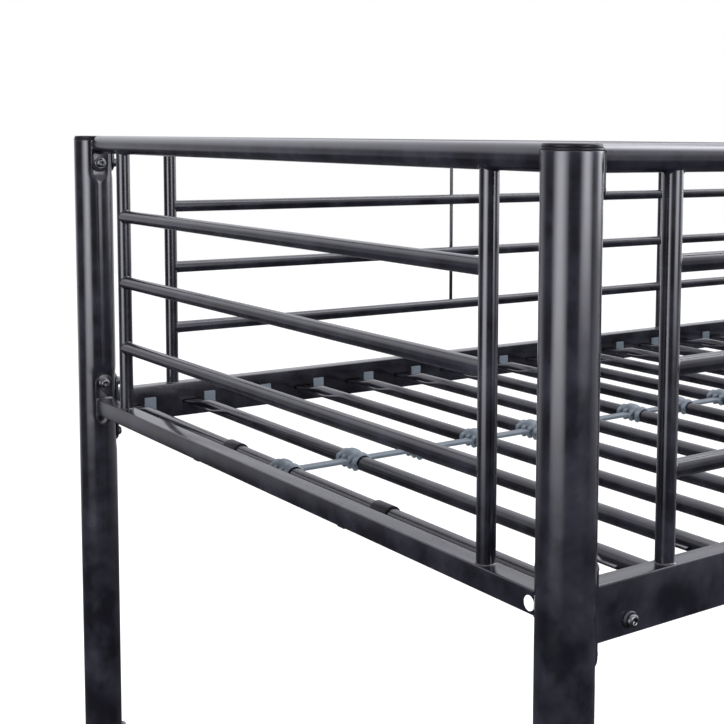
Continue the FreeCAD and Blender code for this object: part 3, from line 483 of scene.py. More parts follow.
def powder_coat():
    """Blue-black gloss powder coat: fine orange peel, cloudy smudges and faint streaks."""
    material, nodes, shader, place = new_material("black_powder_coat")
    smudge = noise(nodes, place, 22, 5, 0.6)
    streak = noise(nodes, place, 70, 3, 0.55)
    grain = noise(nodes, place, 900, 2, 0.5)
    peel = noise(nodes, place, 380, 2, 0.45)
    wave = noise(nodes, place, 30, 1, 0.3)
    smudged = remap(nodes, smudge, 0.42, 0.80, 0, 1)
    tone = blend(nodes, smudged, (0.0024, 0.0024, 0.0046), (0.0170, 0.0170, 0.0255))
    nodes.link(tone, shader.inputs["Base Color"])
    rough = combine(nodes, "ADD", remap(nodes, smudge, 0.3, 0.75, 0.15, 0.23),
                    remap(nodes, streak, 0.3, 0.8, -0.015, 0.03))
    nodes.link(rough, shader.inputs["Roughness"])
    shader.inputs["Specular IOR Level"].default_value = 0.5
    normal = bump(nodes, wave, 0.014 * MM)
    normal = bump(nodes, peel, 0.0022 * MM, normal=normal)
    normal = bump(nodes, grain, 0.0006 * MM, normal=normal)
    nodes.link(normal, shader.inputs["Normal"])
    return material


def mottled(name, first, second, roughness, cloud_scale, clouds, grain):
    """A material whose colour and roughness drift with a cloudy noise, with a fine grain over it."""
    material, nodes, shader, place = new_material(name)
    cloud = noise(nodes, place, cloud_scale, 4, 0.6)
    nodes.link(blend(nodes, remap(nodes, cloud, *clouds, 0, 1), first, second), shader.inputs["Base Color"])
    nodes.link(remap(nodes, cloud, 0.25, 0.8, *roughness), shader.inputs["Roughness"])
    return material, nodes, shader, cloud, noise(nodes, place, *grain)


def plastic(name, first, second, roughness, level=0.4, grain_scale=700, grain_depth=0.02):
    material, nodes, shader, cloud, grain = mottled(
        name, first, second, roughness, 60, (0.3, 0.75), (grain_scale, 3, 0.6))
    shader.inputs["Specular IOR Level"].default_value = level
    normal = bump(nodes, cloud, 0.15 * MM, 0.6)
    nodes.link(bump(nodes, grain, grain_depth * MM, normal=normal), shader.inputs["Normal"])
    return material


def metal(name, first, second, roughness):
    material, nodes, shader, _, grain = mottled(name, first, second, roughness, 180, (0.3, 0.7), (1500, 2, 0.5))
    shader.inputs["Metallic"].default_value = 1.0
    nodes.link(bump(nodes, grain, 0.01 * MM), shader.inputs["Normal"])
    return material


COAT = powder_coat()
GREY = plastic("grey_moulded_plastic", (0.062, 0.078, 0.096), (0.088, 0.107, 0.126), (0.42, 0.58))
BLACK = plastic("black_moulded_plastic", (0.004, 0.004, 0.005), (0.009, 0.009, 0.011), (0.26, 0.40), 0.12)
RUBBER = plastic("black_rubber", (0.012, 0.012, 0.012), (0.022, 0.021, 0.020), (0.6, 0.78), 0.3, 900, 0.04)
BOLT = metal("dark_bolt_steel", (0.06, 0.06, 0.065), (0.13, 0.13, 0.14), (0.24, 0.38))
ZINC = metal("zinc_steel", (0.42, 0.43, 0.45), (0.55, 0.56, 0.58), (0.28, 0.42))
PAPER = plastic("white_paper", (0.72, 0.73, 0.74), (0.80, 0.80, 0.80), (0.5, 0.62), 0.3, 1600)

SLOTS = {
    "black_steel": COAT,
    "grey_plastic": GREY,
    "black_plastic": BLACK,
    "black_rubber": RUBBER,
    "dark_bolt_steel": BOLT,
    "zinc_steel": ZINC,
    "white_sticker": PAPER,
}


def finish_piece(node, shape, slot="black_steel", body="frame", crease=CREASE):
    """Turn gathered points and faces into the piece that stands for a CAD node."""
    mesh = bpy.data.meshes.new(node + "_form")
    mesh.from_pydata(np.concatenate(shape.points).tolist(), [], shape.faces)
    made = bmesh.new()
    made.from_mesh(mesh)
    loose = [v for v in made.verts if not v.link_faces]
    bmesh.ops.delete(made, geom=loose, context="VERTS")
    close_piece(node, mesh, made, slot, body, crease)


def close_piece(node, mesh, made, slot, body, crease):
    """Keep the shape inside the CAD model's box, then make it the piece that stands for the node."""
    low, high = CAD_BOX
    for v in made.verts:
        v.co = [min(max(value, a), b) for value, a, b in zip(v.co, low, high)]
    bmesh.ops.recalc_face_normals(made, faces=made.faces)
    made.to_mesh(mesh)
    made.free()
    mesh.shade_smooth()
    mesh.set_sharp_from_angle(angle=crease)
    mesh.materials.clear()
    mesh.materials.append(SLOTS[slot])
    piece = bpy.data.objects.new(node + "_form", mesh)
    bpy.context.scene.collection.objects.link(piece)
    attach(piece, body)
    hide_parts(node)


def refined(node, slot, edge, body="frame"):
    """A copy of a CAD node's mesh with its hard edges softened."""
    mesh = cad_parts[node].data.copy()
    mesh.name = node + "_form"
    made = bmesh.new()
    made.from_mesh(mesh)
    bmesh.ops.remove_doubles(made, verts=made.verts, dist=2e-6)
    bmesh.ops.dissolve_limit(made, angle_limit=math.radians(0.6), verts=made.verts, edges=made.edges)
    hard = [e for e in made.edges if len(e.link_faces) == 2 and e.calc_face_angle(0) > math.radians(32)]
    bmesh.ops.bevel(made, geom=hard, offset=edge, segments=3, profile=0.5, affect="EDGES",
                    clamp_overlap=True)
    close_piece(node, mesh, made, slot, body, CREASE)


# ---- posts ----

BED_MIDDLE_Y = blocks("upper_slats")[0].middle[1]
POST_NODES = [f"{level}_post_{depth}_{side}" for level in ("upper", "lower")
              for depth in ("front", "back") for side in ("left", "right")]
PLATE_NODES = ("top_rail_plates", "end_rail_plates", "side_rail_brackets")
PLATES = {node: blocks(node) for node in PLATE_NODES}


def smooth(t):
    t = np.clip(t, 0, 1)
    return t * t * (3 - 2 * t)


def plate_facing(block, axis_x, axis_y):
    """The way a plate on this post faces, as an axis number and a sign."""
    for number, centre in ((0, axis_x), (1, axis_y)):
        if block.low[number] > centre:
            return number, 1
        if block.high[number] < centre:
            return number, -1
    return None


def near_post(block, x, y):
    """Whether a plate belongs to the post that has this axis."""
    return abs(block.middle[0] - x) < 0.07 and abs(block.middle[1] - y) < 0.03


def post_rings(x, y, radius, heights, flats, inset):
    rings = []
    for z in heights:
        loop = circle(1, POST_SIDES) * (radius - inset)
        for (number, sign), low, high in flats:
            gap = max(low - z, z - high, 0)
            ease = smooth(gap / FLAT_BLEND)
            limit = POST_FLAT - inset + (radius - POST_FLAT + 0.6 * MM) * ease
            soft = FLAT_SOFT * (1 - ease) + 0.02 * MM
            reach = loop[:, number] * sign
            pressed = 0.5 * (reach + limit - np.sqrt((reach - limit) ** 2 + soft**2))
            loop[:, number] = np.where(reach > 0, sign * np.minimum(reach, pressed), loop[:, number])
        rings.append(np.column_stack([loop[:, 0] + x, loop[:, 1] + y, np.full(len(loop), z)]))
    return np.array(rings)


def make_posts():
    for node in POST_NODES:
        low, high = (np.array(v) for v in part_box(node))
        x, y = ((low + high) / 2)[:2]
        radius = (high[0] - low[0]) / 2
        flats = []
        for plates in PLATES.values():
            for block in plates:
                if near_post(block, x, y) and block.high[2] > low[2] and block.low[2] < high[2]:
                    flats.append((plate_facing(block, x, y), block.low[2], block.high[2]))
        marks = {low[2], high[2]}
        for _, bottom, top in flats:
            marks |= set(np.arange(bottom - FLAT_BLEND - 4 * MM, top + FLAT_BLEND + 4 * MM, 2 * MM))
        marks |= set(np.linspace(low[2], high[2], 24))
        heights = [z for z in sorted(marks) if low[2] + 1.2 * MM < z < high[2] - 1.2 * MM]
        heights = np.array([h for h, g in zip(heights, np.diff([0] + heights)) if g > 0.5 * MM])
        shape = Shape()
        edge = 0.5 * MM
        body = post_rings(x, y, radius, heights, flats, 0)
        bore = post_rings(x, y, radius, heights, flats, WALL)

        def lip(z, shrink):
            outer = post_rings(x, y, radius, [z], flats, 0)[0]
            centre = np.array([x, y, z])
            return centre + (outer - centre) * (1 - shrink / radius)

        steps = soft_steps(edge)
        bottom = [lip(low[2] + step, inset) for inset, step in steps]
        top = [lip(high[2] - step, inset) for inset, step in steps[::-1]]
        outer = np.concatenate([bottom, body, top])
        ends = post_rings(x, y, radius, [low[2], high[2]], flats, WALL)
        inner = np.concatenate([np.repeat(ends[:1], len(steps), 0), bore, np.repeat(ends[1:], len(steps), 0)])
        for i in range(len(steps)):
            inner[i, :, 2] = low[2] + steps[i][1]
            inner[-1 - i, :, 2] = high[2] - steps[i][1]
        thick(shape, outer, inner)
        finish_piece(node, shape)


def make_caps():
    caps = Shape()
    for block in blocks("post_top_caps"):
        top = block.high[2]
        radius = block.size[0] / 2
        plug = radius - CAP_PLUG_INSET
        base = top - CAP_HEIGHT
        outline = steps_from(plug, block.low[2], ((-1, 0), (0, 1))) + steps_from(plug, base, ((0, -0.05),))
        outline += steps_from(radius, base, ((-0.6, 0), (-0.15, 0.15), (0, 0.5)))
        rim = ((0, -0.5), (-0.2, -0.1), (-0.7, 0), (-1, 0.05), (-0.8, 0.4))
        outline += steps_from(radius, base + CAP_RIM, rim)
        for t in np.linspace(0, 1, 7):
            turn = t * math.pi / 2
            outline.append((radius - 0.8 * MM - CAP_ROUND * (1 - math.cos(turn)),
                            top - 1.9 * MM + CAP_ROUND * math.sin(turn)))
        outline += steps_from(radius, top, ((-8, -0.08), (-14, 0))) + [(0.5 * MM, top)]
        turned(caps, moved(block.middle, 2, 0), Z, outline, WELD_SIDES)
    finish_piece("post_top_caps", caps, "black_plastic")

    feet = Shape()
    for block in blocks("post_foot_caps"):
        top = block.high[2]
        radius = block.size[0] / 2
        plug = radius - WALL - 0.2 * MM
        outline = steps_from(radius, 0, ((-2, 0), (-0.9, 0.5), (-0.2, 1.6), (0, 2.6)))
        outline += steps_from(radius, FOOT_HEIGHT, ((0, -0.5), (-0.5, 0)))
        outline += steps_from(plug, FOOT_HEIGHT, ((0, 0.05),))
        outline += steps_from(plug, top, ((0, -1), (-1, 0))) + [(0.5 * MM, top)]
        turned(feet, moved(block.middle, 2, 0), Z, outline, WELD_SIDES)
    finish_piece("post_foot_caps", feet, "black_plastic")


# ---- ends ----

# Half a plate's width, and a plate's ends below and above the axis of the rail welded to it.
TOP_PLATE = (11 * MM, -34 * MM, 5.5 * MM)
END_PLATE = (11 * MM, -10 * MM, 41 * MM)


def upright(shape, block, radius, low, high, rail, top_weld, foot_weld):
    """A round upright from a flat face to the axis of a round rail, with a weld at each end."""
    rail_radius, rail_axis = rail
    foot, head = moved(block.middle, 2, low - SINK), moved(block.middle, 2, high)
    bar(shape, foot, head, circle(radius, TUBE_SIDES), None, rail)
    weld_tube(shape, head, -Z, radius, rail_axis, rail_radius, *top_weld)
    weld_flat(shape, moved(foot, 2, low), Z, circle(radius, BAR_WELD_SIDES), *foot_weld)
    return head


def crossbar(shape, near, far, radius, hosts, axis, *weld, sides=TUBE_SIDES):
    """A round bar between the axes of two round tubes, with a weld at each end."""
    way = unit(far - near)
    bar(shape, near, far, circle(radius, sides), (hosts[0], axis), (hosts[1], axis))
    weld_tube(shape, near, way, radius, axis, hosts[0], *weld)
    weld_tube(shape, far, -way, radius, axis, hosts[1], *weld)


def end_rail(name, block, loop, weld_loop, *weld):
    """A rail across the bed, welded to the plates at its ends."""
    start, end = moved(block.middle, 1, block.low[1]), moved(block.middle, 1, block.high[1])
    shape = Shape()
    bar(shape, start, end, loop)
    for place, way in ((start, Y), (end, -Y)):
        weld_flat(shape, place, way, weld_loop, *weld)
    finish_piece(name, shape)


def make_ends():
    for name in ("upper_left_end", "upper_right_end", "lower_left_end", "lower_right_end"):
        rail, square = blocks(f"{name}_top_rail")[0], blocks(f"{name}_bottom_rail")[0]
        radius = rail.size[0] / 2
        loop, weld_loop = circle(radius, RAIL_SIDES), circle(radius, WELD_SIDES)
        end_rail(f"{name}_top_rail", rail, loop, weld_loop, WELD, 0.16, TOP_PLATE)
        loop, weld_loop = (rounded(square.size[0], square.size[2], RAIL_CORNER, steps) for steps in (5, 12))
        end_rail(f"{name}_bottom_rail", square, loop, weld_loop, 1.4 * MM, 0.3, END_PLATE)

        uprights = Shape()
        stands = blocks(f"{name}_uprights")
        for block in stands:
            upright(uprights, block, block.size[0] / 2, block.low[2], rail.middle[2], (radius, Y),
                    (1.3 * MM, 0.3), (0.9 * MM, 0.2))
        finish_piece(f"{name}_uprights", uprights)

        bars = Shape()
        host = stands[0].size[0] / 2
        for block in blocks(f"{name}_bars"):
            near, far = (moved(block.middle, 1, stand.middle[1]) for stand in stands[:2])
            crossbar(bars, near, far, block.size[0] / 2, (host, host), Z, BAR_WELD)
        finish_piece(f"{name}_bars", bars)


# ---- guards ----


# The drop of weld that holds a thin rod to a bar, as an outline turned about the bar's direction.
ROD_WELD = np.array(((0.2, 0), (1.1, 0.5), (1.5, 1.8), (1.6, 3.2), (1.5, 4.6), (1.1, 5.9), (0.2, 6.4))) * MM
ROD_WELD_HALF = 3.2 * MM


def make_guards():
    for depth in ("back", "front"):
        name = f"{depth}_guard"
        rail = blocks(f"{name}_top_rail")[0]
        side = blocks(f"upper_{depth}_side_rail")[0]
        radius = rail.size[1] / 2
        y, axis_z = rail.middle[1], rail.high[2] - radius
        start = np.array([rail.low[0], y, axis_z])
        loop, weld_loop = circle(radius, RAIL_SIDES), circle(radius, WELD_SIDES)
        top = Shape()
        drop_x = None
        if depth == "back":
            end = moved(start, 0, rail.high[0])
            bar(top, start, end, loop)
            weld_flat(top, end, -X, weld_loop, plate=TOP_PLATE)
        else:
            drop_x = rail.high[0] - radius
            turn_x, turn_z = drop_x - GUARD_BEND, axis_z - GUARD_BEND
            rings = [ring([x, y, axis_z], Y, Z, loop) for x in np.linspace(start[0], turn_x, 12)]
            for t in np.linspace(0, math.pi / 2, 25)[1:]:
                way = np.array([math.sin(t), 0, math.cos(t)])
                rings.append(ring(np.array([turn_x, y, turn_z]) + GUARD_BEND * way, Y, way, loop))
            for z in np.linspace(turn_z, rail.low[2] - SINK, 6)[1:]:
                rings.append(ring([drop_x, y, z], Y, X, loop))
            loft(top, rings)
            foot_loop = circle(radius * 0.905, WELD_SIDES)
            weld_flat(top, np.array([drop_x, y, rail.low[2]]), Z, foot_loop, 1.0 * MM, 0.2)
        weld_flat(top, start, X, weld_loop, plate=TOP_PLATE)
        finish_piece(f"{name}_top_rail", top)

        uprights = Shape()
        stands = blocks(f"{name}_uprights")
        host = stands[0].size[0] / 2
        for block in stands:
            head = upright(uprights, block, host, side.high[2], axis_z, (radius, X),
                           (1.5 * MM, 0.34), (1.0 * MM, 0.2))
            spatter(uprights, head - Z * (radius + 1.5 * MM), 1.8 * MM, 12, 0.4 * MM)
        finish_piece(f"{name}_uprights", uprights)

        bars = Shape()
        columns = [block.middle[0] for block in stands] + ([drop_x] if drop_x else [])
        bar_blocks = blocks(f"{name}_bars")
        for block in bar_blocks:
            left, right = (min(columns, key=lambda x: abs(x - edge)) for edge in (block.low[0], block.high[0]))
            hosts = (host, radius if right == drop_x else host)
            near, far = moved(block.middle, 0, left), moved(block.middle, 0, right)
            crossbar(bars, near, far, block.size[1] / 2, hosts, Z, BAR_WELD)
        finish_piece(f"{name}_bars", bars)

        rods = Shape()
        for block in blocks(f"{name}_rods"):
            foot, head = moved(block.middle, 2, block.low[2]), moved(block.middle, 2, block.high[2])
            bar(rods, foot, head, circle(block.size[0] / 2, 20), edge=0.6 * MM)
            weld_y = (block.middle[1] + y) / 2 + (block.middle[1] - y) * 0.12
            for height in sorted({round(float(b.middle[2]), 5) for b in bar_blocks}):
                place = np.array([block.middle[0], weld_y, height])
                turned(rods, place - X * ROD_WELD_HALF, X, ROD_WELD, 14)
        finish_piece(f"{name}_rods", rods)


# ---- side rails, slats and plastic pieces ----


def make_side_rails(level):
    slat_blocks = blocks(f"{level}_slats")
    plug_blocks = blocks(f"{level}_slat_plugs")
    for depth, inward in (("front", 1), ("back", -1)):
        node = f"{level}_{depth}_side_rail"
        rail = blocks(node)[0]
        width, height = rail.size[1], rail.size[2]
        own = [b for b in plug_blocks if abs(b.middle[1] - rail.middle[1]) < 0.05]
        slot_z = slat_blocks[0].middle[2] - TONGUE_SINK - rail.middle[2]
        slot_half = TONGUE_THICK / 2 + SLOT_GAP
        hole_z = own[0].middle[2] - rail.middle[2]
        hole_half = PLUG_STEM / 2
        marks = sorted([slot_z - slot_half, slot_z + slot_half, hole_z - hole_half, hole_z + hole_half])

        def section(shrink):
            """The rail's outline, then the marks up its inner side, where the rounded loop ends."""
            base = rounded(width - 2 * shrink, height - 2 * shrink, RAIL_CORNER - shrink * 0.7, 4)
            return np.concatenate([base, [(width / 2 - shrink, z) for z in marks]])

        outer_loop, inner_loop = section(0), section(WALL)
        first = len(outer_loop) - len(marks)
        holes = [(block.middle[0], TONGUE_WIDTH / 2 + SLOT_GAP, slot_z, slot_half) for block in slat_blocks]
        holes += [(block.middle[0], hole_half, hole_z, hole_half) for block in own]
        spans = [(x - half, x + half, z - rise, z + rise) for x, half, z, rise in holes]
        breaks = {rail.low[0], rail.high[0], *(span[0] for span in spans), *(span[1] for span in spans)}
        breaks = np.array(sorted(breaks))
        side = Y * inward
        outer, inner = (np.array([ring(moved(rail.middle, 0, x), side, Z, loop) for x in breaks])
                        for loop in (outer_loop, inner_loop))
        keep = np.ones((len(breaks) - 1, len(outer_loop)), bool)
        heights = outer_loop[first:, 1]
        for a, b, low, high in spans:
            open_x = (breaks[:-1] >= a - TINY) & (breaks[1:] <= b + TINY)
            open_z = (heights[:-1] >= low - TINY) & (heights[1:] <= high + TINY)
            keep[:, first:-1] &= ~np.outer(open_x, open_z)
        shape = Shape()
        thick(shape, outer, inner, keep)
        finish_piece(node, shape)


def slat_loop(ease):
    """A slat's section: round where ease is 0, a flat tongue where it is 1."""
    turn = angles(56)
    c, s = np.cos(turn), np.sin(turn)
    power = 2 / (2 + 1.4 * ease)
    half_width = SLAT_RADIUS + (TONGUE_WIDTH / 2 - SLAT_RADIUS) * ease
    half_height = SLAT_RADIUS + (TONGUE_THICK / 2 - SLAT_RADIUS) * ease
    across_x = np.sign(c) * np.abs(c) ** power * half_width
    up = np.sign(s) * np.abs(s) ** power * half_height
    dish = 0.8 * MM * ease * (1 - ease) * 4 + 0.3 * MM * ease
    up = up - np.where(s > 0, dish * np.exp(-((across_x / (6 * MM)) ** 2)), 0)
    return np.stack([across_x, up - TONGUE_SINK * ease], 1)


def make_slats(level):
    shape = Shape()
    for block in blocks(f"{level}_slats"):
        end = block.size[1] / 2
        inner_face = end - TONGUE_DEPTH
        flat_from = inner_face - TONGUE_LENGTH
        front_round = flat_from - FRONT_TAPER
        back_round = flat_from - BACK_TAPER
        steps = [-end, -end + 0.6 * MM, *np.linspace(-flat_from, -front_round, 20)]
        steps += [*np.linspace(-front_round, back_round, 11)[1:-1]]
        steps += [*np.linspace(back_round, flat_from, 26), end - 0.6 * MM, end]
        rings = []
        for y in steps:
            round_to, taper = (front_round, FRONT_TAPER) if y < 0 else (back_round, BACK_TAPER)
            ease = float(smooth((abs(y) - round_to) / taper))
            loop = slat_loop(ease)
            if abs(abs(y) - end) < 1e-6:
                loop = loop * 0.96 + np.array([0, -TONGUE_SINK]) * 0.04
            rings.append(ring([block.middle[0], block.middle[1] + y, block.middle[2]], X, Z, loop))
        loft(shape, rings)
    finish_piece(f"{level}_slats", shape, crease=math.radians(60))


def make_plugs(level):
    node = f"{level}_slat_plugs"
    shape = Shape()
    for block in blocks(node):
        inward = 1 if block.middle[1] < BED_MIDDLE_Y else -1
        face = block.high[1] if inward > 0 else block.low[1]
        back = np.array([block.middle[0], face - inward * PLUG_PLATE, block.middle[2]])
        loop = rounded(block.size[0], block.size[2], 1.2 * MM, 4)
        # This sideways direction and up are square to the way in, so the plate grows from the rail.
        slab(shape, back, X * -inward, Z, loop, PLUG_PLATE, 0.5 * MM)
        stem = rounded(PLUG_STEM - 0.5 * MM, PLUG_STEM - 0.5 * MM, 0.8 * MM, 3)
        bar(shape, back + Y * inward * 0.3 * MM, back - Y * inward * 5.2 * MM, stem)
    finish_piece(node, shape, "grey_plastic")


KNUCKLE_HALF = 20 * MM
KNUCKLE_BORE = SLAT_RADIUS + 0.1 * MM
FINGER_HALF = 3.3 * MM
STRAP_HALF_WIDTH = 6.5 * MM
STRAP_THICK = 4 * MM


def make_knuckle(shape, centre):
    """A saddle over a slat, with a low dome on top and four fingers down each side."""
    rows, columns = 81, 57
    fingers = np.array([-1, -1 / 3, 1 / 3, 1]) * (KNUCKLE_HALF - FINGER_HALF)
    outer, inner = [], []
    for y in np.linspace(-KNUCKLE_HALF, KNUCKLE_HALF, rows):
        finger = max(math.exp(-(((y - middle) / FINGER_HALF) ** 6)) for middle in fingers)
        end_ease = smooth((KNUCKLE_HALF - abs(y)) / (1.6 * MM))
        reach = math.radians(66 + 70 * finger)
        turns = np.linspace(-reach, reach, columns)
        low = smooth((np.abs(turns) - math.radians(46)) / math.radians(26))
        tip = smooth((reach - np.abs(turns)) / math.radians(12))
        dome = 2.7 * MM * math.exp(-(((y - 2 * MM) / (9 * MM)) ** 4)) * np.exp(-((turns / 0.75) ** 4))
        collar = 1.5 * MM * math.exp(-(((y + 15 * MM) / (3.6 * MM)) ** 4)) * np.exp(-((turns / 0.9) ** 4))
        shell = (2.0 * MM + dome + collar + low * (3.0 * MM * finger - 0.6 * MM)) * (0.5 + 0.5 * end_ease)
        radius = KNUCKLE_BORE + shell * (0.4 + 0.6 * tip)
        across_x, up = np.sin(turns), np.cos(turns)
        level = np.full(columns, y)
        outer.append(np.stack([across_x * radius, level, up * radius], 1))
        inner.append(np.stack([across_x * KNUCKLE_BORE, level, up * KNUCKLE_BORE], 1))
    outer, inner = np.array(outer) + centre, np.array(inner) + centre
    keep = np.ones((rows - 1, columns), bool)
    keep[:, -1] = False
    thick(shape, outer, inner, keep)


def make_clip_strip(level):
    node = f"{level}_clip_strip"
    middle_y = blocks(node)[0].middle[1]
    shape = Shape()
    slats = sorted(blocks(f"{level}_slats"), key=lambda b: b.middle[0])
    centres = [np.array([b.middle[0], middle_y, b.middle[2]]) for b in slats]
    for centre in centres:
        make_knuckle(shape, centre)
    for here, there in zip(centres, centres[1:]):
        start = SLAT_RADIUS + 0.8 * MM
        end = there[0] - here[0] - start
        rings = []
        for t in np.linspace(0, 1, 25):
            x = start + (end - start) * t
            flare = 1 - smooth(min(x - start, end - x) / (9 * MM))
            half = STRAP_HALF_WIDTH + 2.4 * MM * flare
            deep = STRAP_THICK + 1.4 * MM * flare
            loop = rounded(2 * half, deep, 1.3 * MM, 4)
            rings.append(ring([here[0] + x, here[1], here[2] + 0.6 * MM * (1 - flare)], Y, Z, loop))
        loft(shape, rings)
    finish_piece(node, shape, "grey_plastic", crease=math.radians(50))


# ---- plates and fasteners ----


def arch(width, low, high, round_low, round_high):
    """A plate's outline: straight sides with a half round at one or both ends."""
    half = width / 2
    corner = [(0, 2 * MM), (0.6 * MM, 0.6 * MM), (2 * MM, 0)]
    if round_high:
        turn = np.linspace(0, math.pi, 16)
        loop = [(half * math.cos(t), high - half + half * math.sin(t)) for t in turn]
    else:
        loop = [(half - a, high - b) for a, b in corner] + [(a - half, high - b) for a, b in corner[::-1]]
    if round_low:
        turn = np.linspace(math.pi, 2 * math.pi, 16)
        loop += [(half * math.cos(t), low + half + half * math.sin(t)) for t in turn]
    else:
        loop += [(a - half, low + b) for a, b in corner] + [(half - a, low + b) for a, b in corner[::-1]]
    return np.array(loop)


def plate_frame(block, number, sign):
    """The middle of a plate's post side, its sideways direction and the way it faces."""
    centre = moved(block.middle, number, block.low[number] if sign > 0 else block.high[number])
    out = moved(np.zeros(3), number, sign)
    return centre, np.cross(Z, out), out


def make_plates():
    posts = [Block(np.array([*map(np.array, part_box(n))])) for n in POST_NODES[:4]]

    def owner(block):
        return min(posts, key=lambda p: np.hypot(*(p.middle - block.middle)[:2]))

    for node, round_low, round_high in (
        ("top_rail_plates", True, False), ("end_rail_plates", False, True), ("side_rail_brackets", True, True),
    ):
        shape = Shape()
        for block in PLATES[node]:
            post = owner(block)
            number, sign = plate_facing(block, *post.middle[:2])
            centre, side, out = plate_frame(block, number, sign)
            centre[1 - number] = post.middle[1 - number]
            width = 2 * TOP_PLATE[0]
            loop = arch(width, block.low[2] - centre[2], block.high[2] - centre[2], round_low, round_high)
            if np.dot(np.cross(side, Z), out) <= 0:
                side = -side
            slab(shape, centre, side, Z, loop, PLATE_THICK, PLATE_EDGE)
            if node == "side_rail_brackets":
                hanger(shape, block, post, number, sign, centre)
        finish_piece(node, shape)


def hanger(shape, block, post, number, sign, centre):
    """The strip of a bracket that lies inside the side rail."""
    strip = block.points[np.abs(block.points[:, number] - post.middle[number]) > 40 * MM]
    low, high = strip.min(0), strip.max(0)
    start = moved((low + high) / 2, number, centre[number] + sign * (PLATE_THICK - 0.3 * MM))
    end = moved(start, number, high[number] if sign > 0 else low[number])
    section = rounded(PLATE_THICK, high[2] - low[2], 0.8 * MM, 3)
    if abs(across(end - start)[0] @ Y) < 0.5:
        section = section[:, ::-1]
    bar(shape, start, end, section)


BOLT_HEAD = 5.75 * MM
BOLT_RISE = 4 * MM
BOLT_TOP = 3.1 * MM
WASHER_BORE = 3.15 * MM


def make_bolts():
    bolts, washers = Shape(), Shape()
    for points in solids("frame_bolts"):
        block = Block(points)
        number = int(np.argmax(block.size))
        off_axis = np.delete(points - block.middle, number, 1)
        wide = points[np.hypot(*off_axis.T) > 4.5 * MM]
        sign = 1 if wide[:, number].mean() > block.middle[number] else -1
        out = moved(np.zeros(3), number, sign)
        tip = moved(block.middle, number, block.high[number] if sign > 0 else block.low[number])
        outline = steps_from(0, -block.size[number], ((0.3, 0), (2.3, 0), (3, 0.8)))
        outline += steps_from(0, -BOLT_RISE, ((3, -0.01),))
        outline += steps_from(BOLT_HEAD, -BOLT_RISE, ((-0.35, 0), (-0.08, 0.12), (0, 0.45)))
        for t in np.linspace(0.12, 1, 9):
            turn = t * math.pi / 2
            bulge = BOLT_TOP + (BOLT_HEAD - BOLT_TOP) * math.cos(turn)
            outline.append((bulge, -BOLT_RISE + 0.5 * MM + (BOLT_RISE - 0.5 * MM) * math.sin(turn)))
        outline += steps_from(0, 0, ((2.75, 0), (2.5, -0.12)))
        side, up = across(out)
        spin = RNG.uniform(0, math.pi)
        side, up = side * math.cos(spin) + up * math.sin(spin), up * math.cos(spin) - side * math.sin(spin)
        loop = circle(1, BOLT_SIDES)
        rings = [ring(tip + out * h, side, up, loop * r) for r, h in outline]
        fold = np.mod(angles(BOLT_SIDES), math.pi / 3) - math.pi / 6
        hexagon = loop * (2 * MM / np.cos(fold))[:, None]
        rings += [ring(tip + out * h, side, up, hexagon * s) for h, s in
                  ((-0.35 * MM, 1.0), (-2.1 * MM, 0.99), (-2.2 * MM, 0.9), (-2.6 * MM, 0.1))]
        loft(bolts, rings)
    finish_piece("frame_bolts", bolts, "dark_bolt_steel", crease=math.radians(44))
    for block in blocks("bolt_washers"):
        number = int(np.argmin(block.size))
        out = moved(np.zeros(3), number, 1)
        side, up = across(out)
        radius, half = np.delete(block.size, number)[0] / 2, block.size[number] / 2
        bore, edge, groove = WASHER_BORE, 0.3 * MM, 0.35 * MM
        section = [(bore, -half + edge), (bore + edge, -half), (radius - edge, -half), (radius, -half + edge),
                   (radius, -groove), (radius - groove, 0), (radius, groove),
                   (radius, half - edge), (radius - edge, half), (bore + edge, half), (bore, half - edge)]
        rings = []
        for t in angles(48):
            way = side * math.cos(t) + up * math.sin(t)
            rings.append([block.middle + way * r + out * h for r, h in section])
        loft(washers, rings, closed=True)
    finish_piece("bolt_washers", washers, "dark_bolt_steel")


# ---- ladder ----


def long_axis(points):
    """The ends of a long solid's axis, low end first, and its direction."""
    middle = (points.min(0) + points.max(0)) / 2
    _, _, ways = np.linalg.svd(points - points.mean(0), full_matrices=False)
    way = ways[0] * np.sign(ways[0][2])
    reach = (points - middle) @ way
    return middle + way * reach.min(), middle + way * reach.max(), way


def make_ladder():
    stiles = {}
    for hand in ("left", "right"):
        node = f"ladder_{hand}_stile"
        points = solids(node)[0]
        start, end, way = long_axis(points)
        stiles[hand] = (start, way)
        shape = Shape()
        bar(shape, start, end, circle(STILE_RADIUS, 56), edge=0.5 * MM)
        finish_piece(node, shape, body="ladder")
    rungs = Shape()
    way = stiles["left"][1]
    for block in blocks("ladder_rungs"):
        left, right = (moved(block.middle, 0, stiles[hand][0][0]) for hand in ("left", "right"))
        crossbar(rungs, left, right, RUNG_RADIUS, (STILE_RADIUS, STILE_RADIUS), way, 2 * MM, 0.2, sides=48)
    finish_piece("ladder_rungs", rungs, body="ladder")
    refined("ladder_feet", "black_rubber", 1.2 * MM, "ladder")
    refined("ladder_caps", "black_plastic", 0.4 * MM, "ladder")
    refined("ladder_hooks", "black_steel", 0.8 * MM, "ladder")


# ---- everything ----

make_posts()
make_caps()
make_ends()
make_guards()
for LEVEL in ("upper", "lower"):
    make_side_rails(LEVEL)
    make_slats(LEVEL)
    make_plugs(LEVEL)
    make_clip_strip(LEVEL)
make_plates()
make_bolts()
make_ladder()
refined("end_slat_clips", "black_plastic", 0.5 * MM)
refined("end_slat_clip_screws", "zinc_steel", 0.25 * MM)
refined("blank_sticker", "white_sticker", 0.05 * MM)

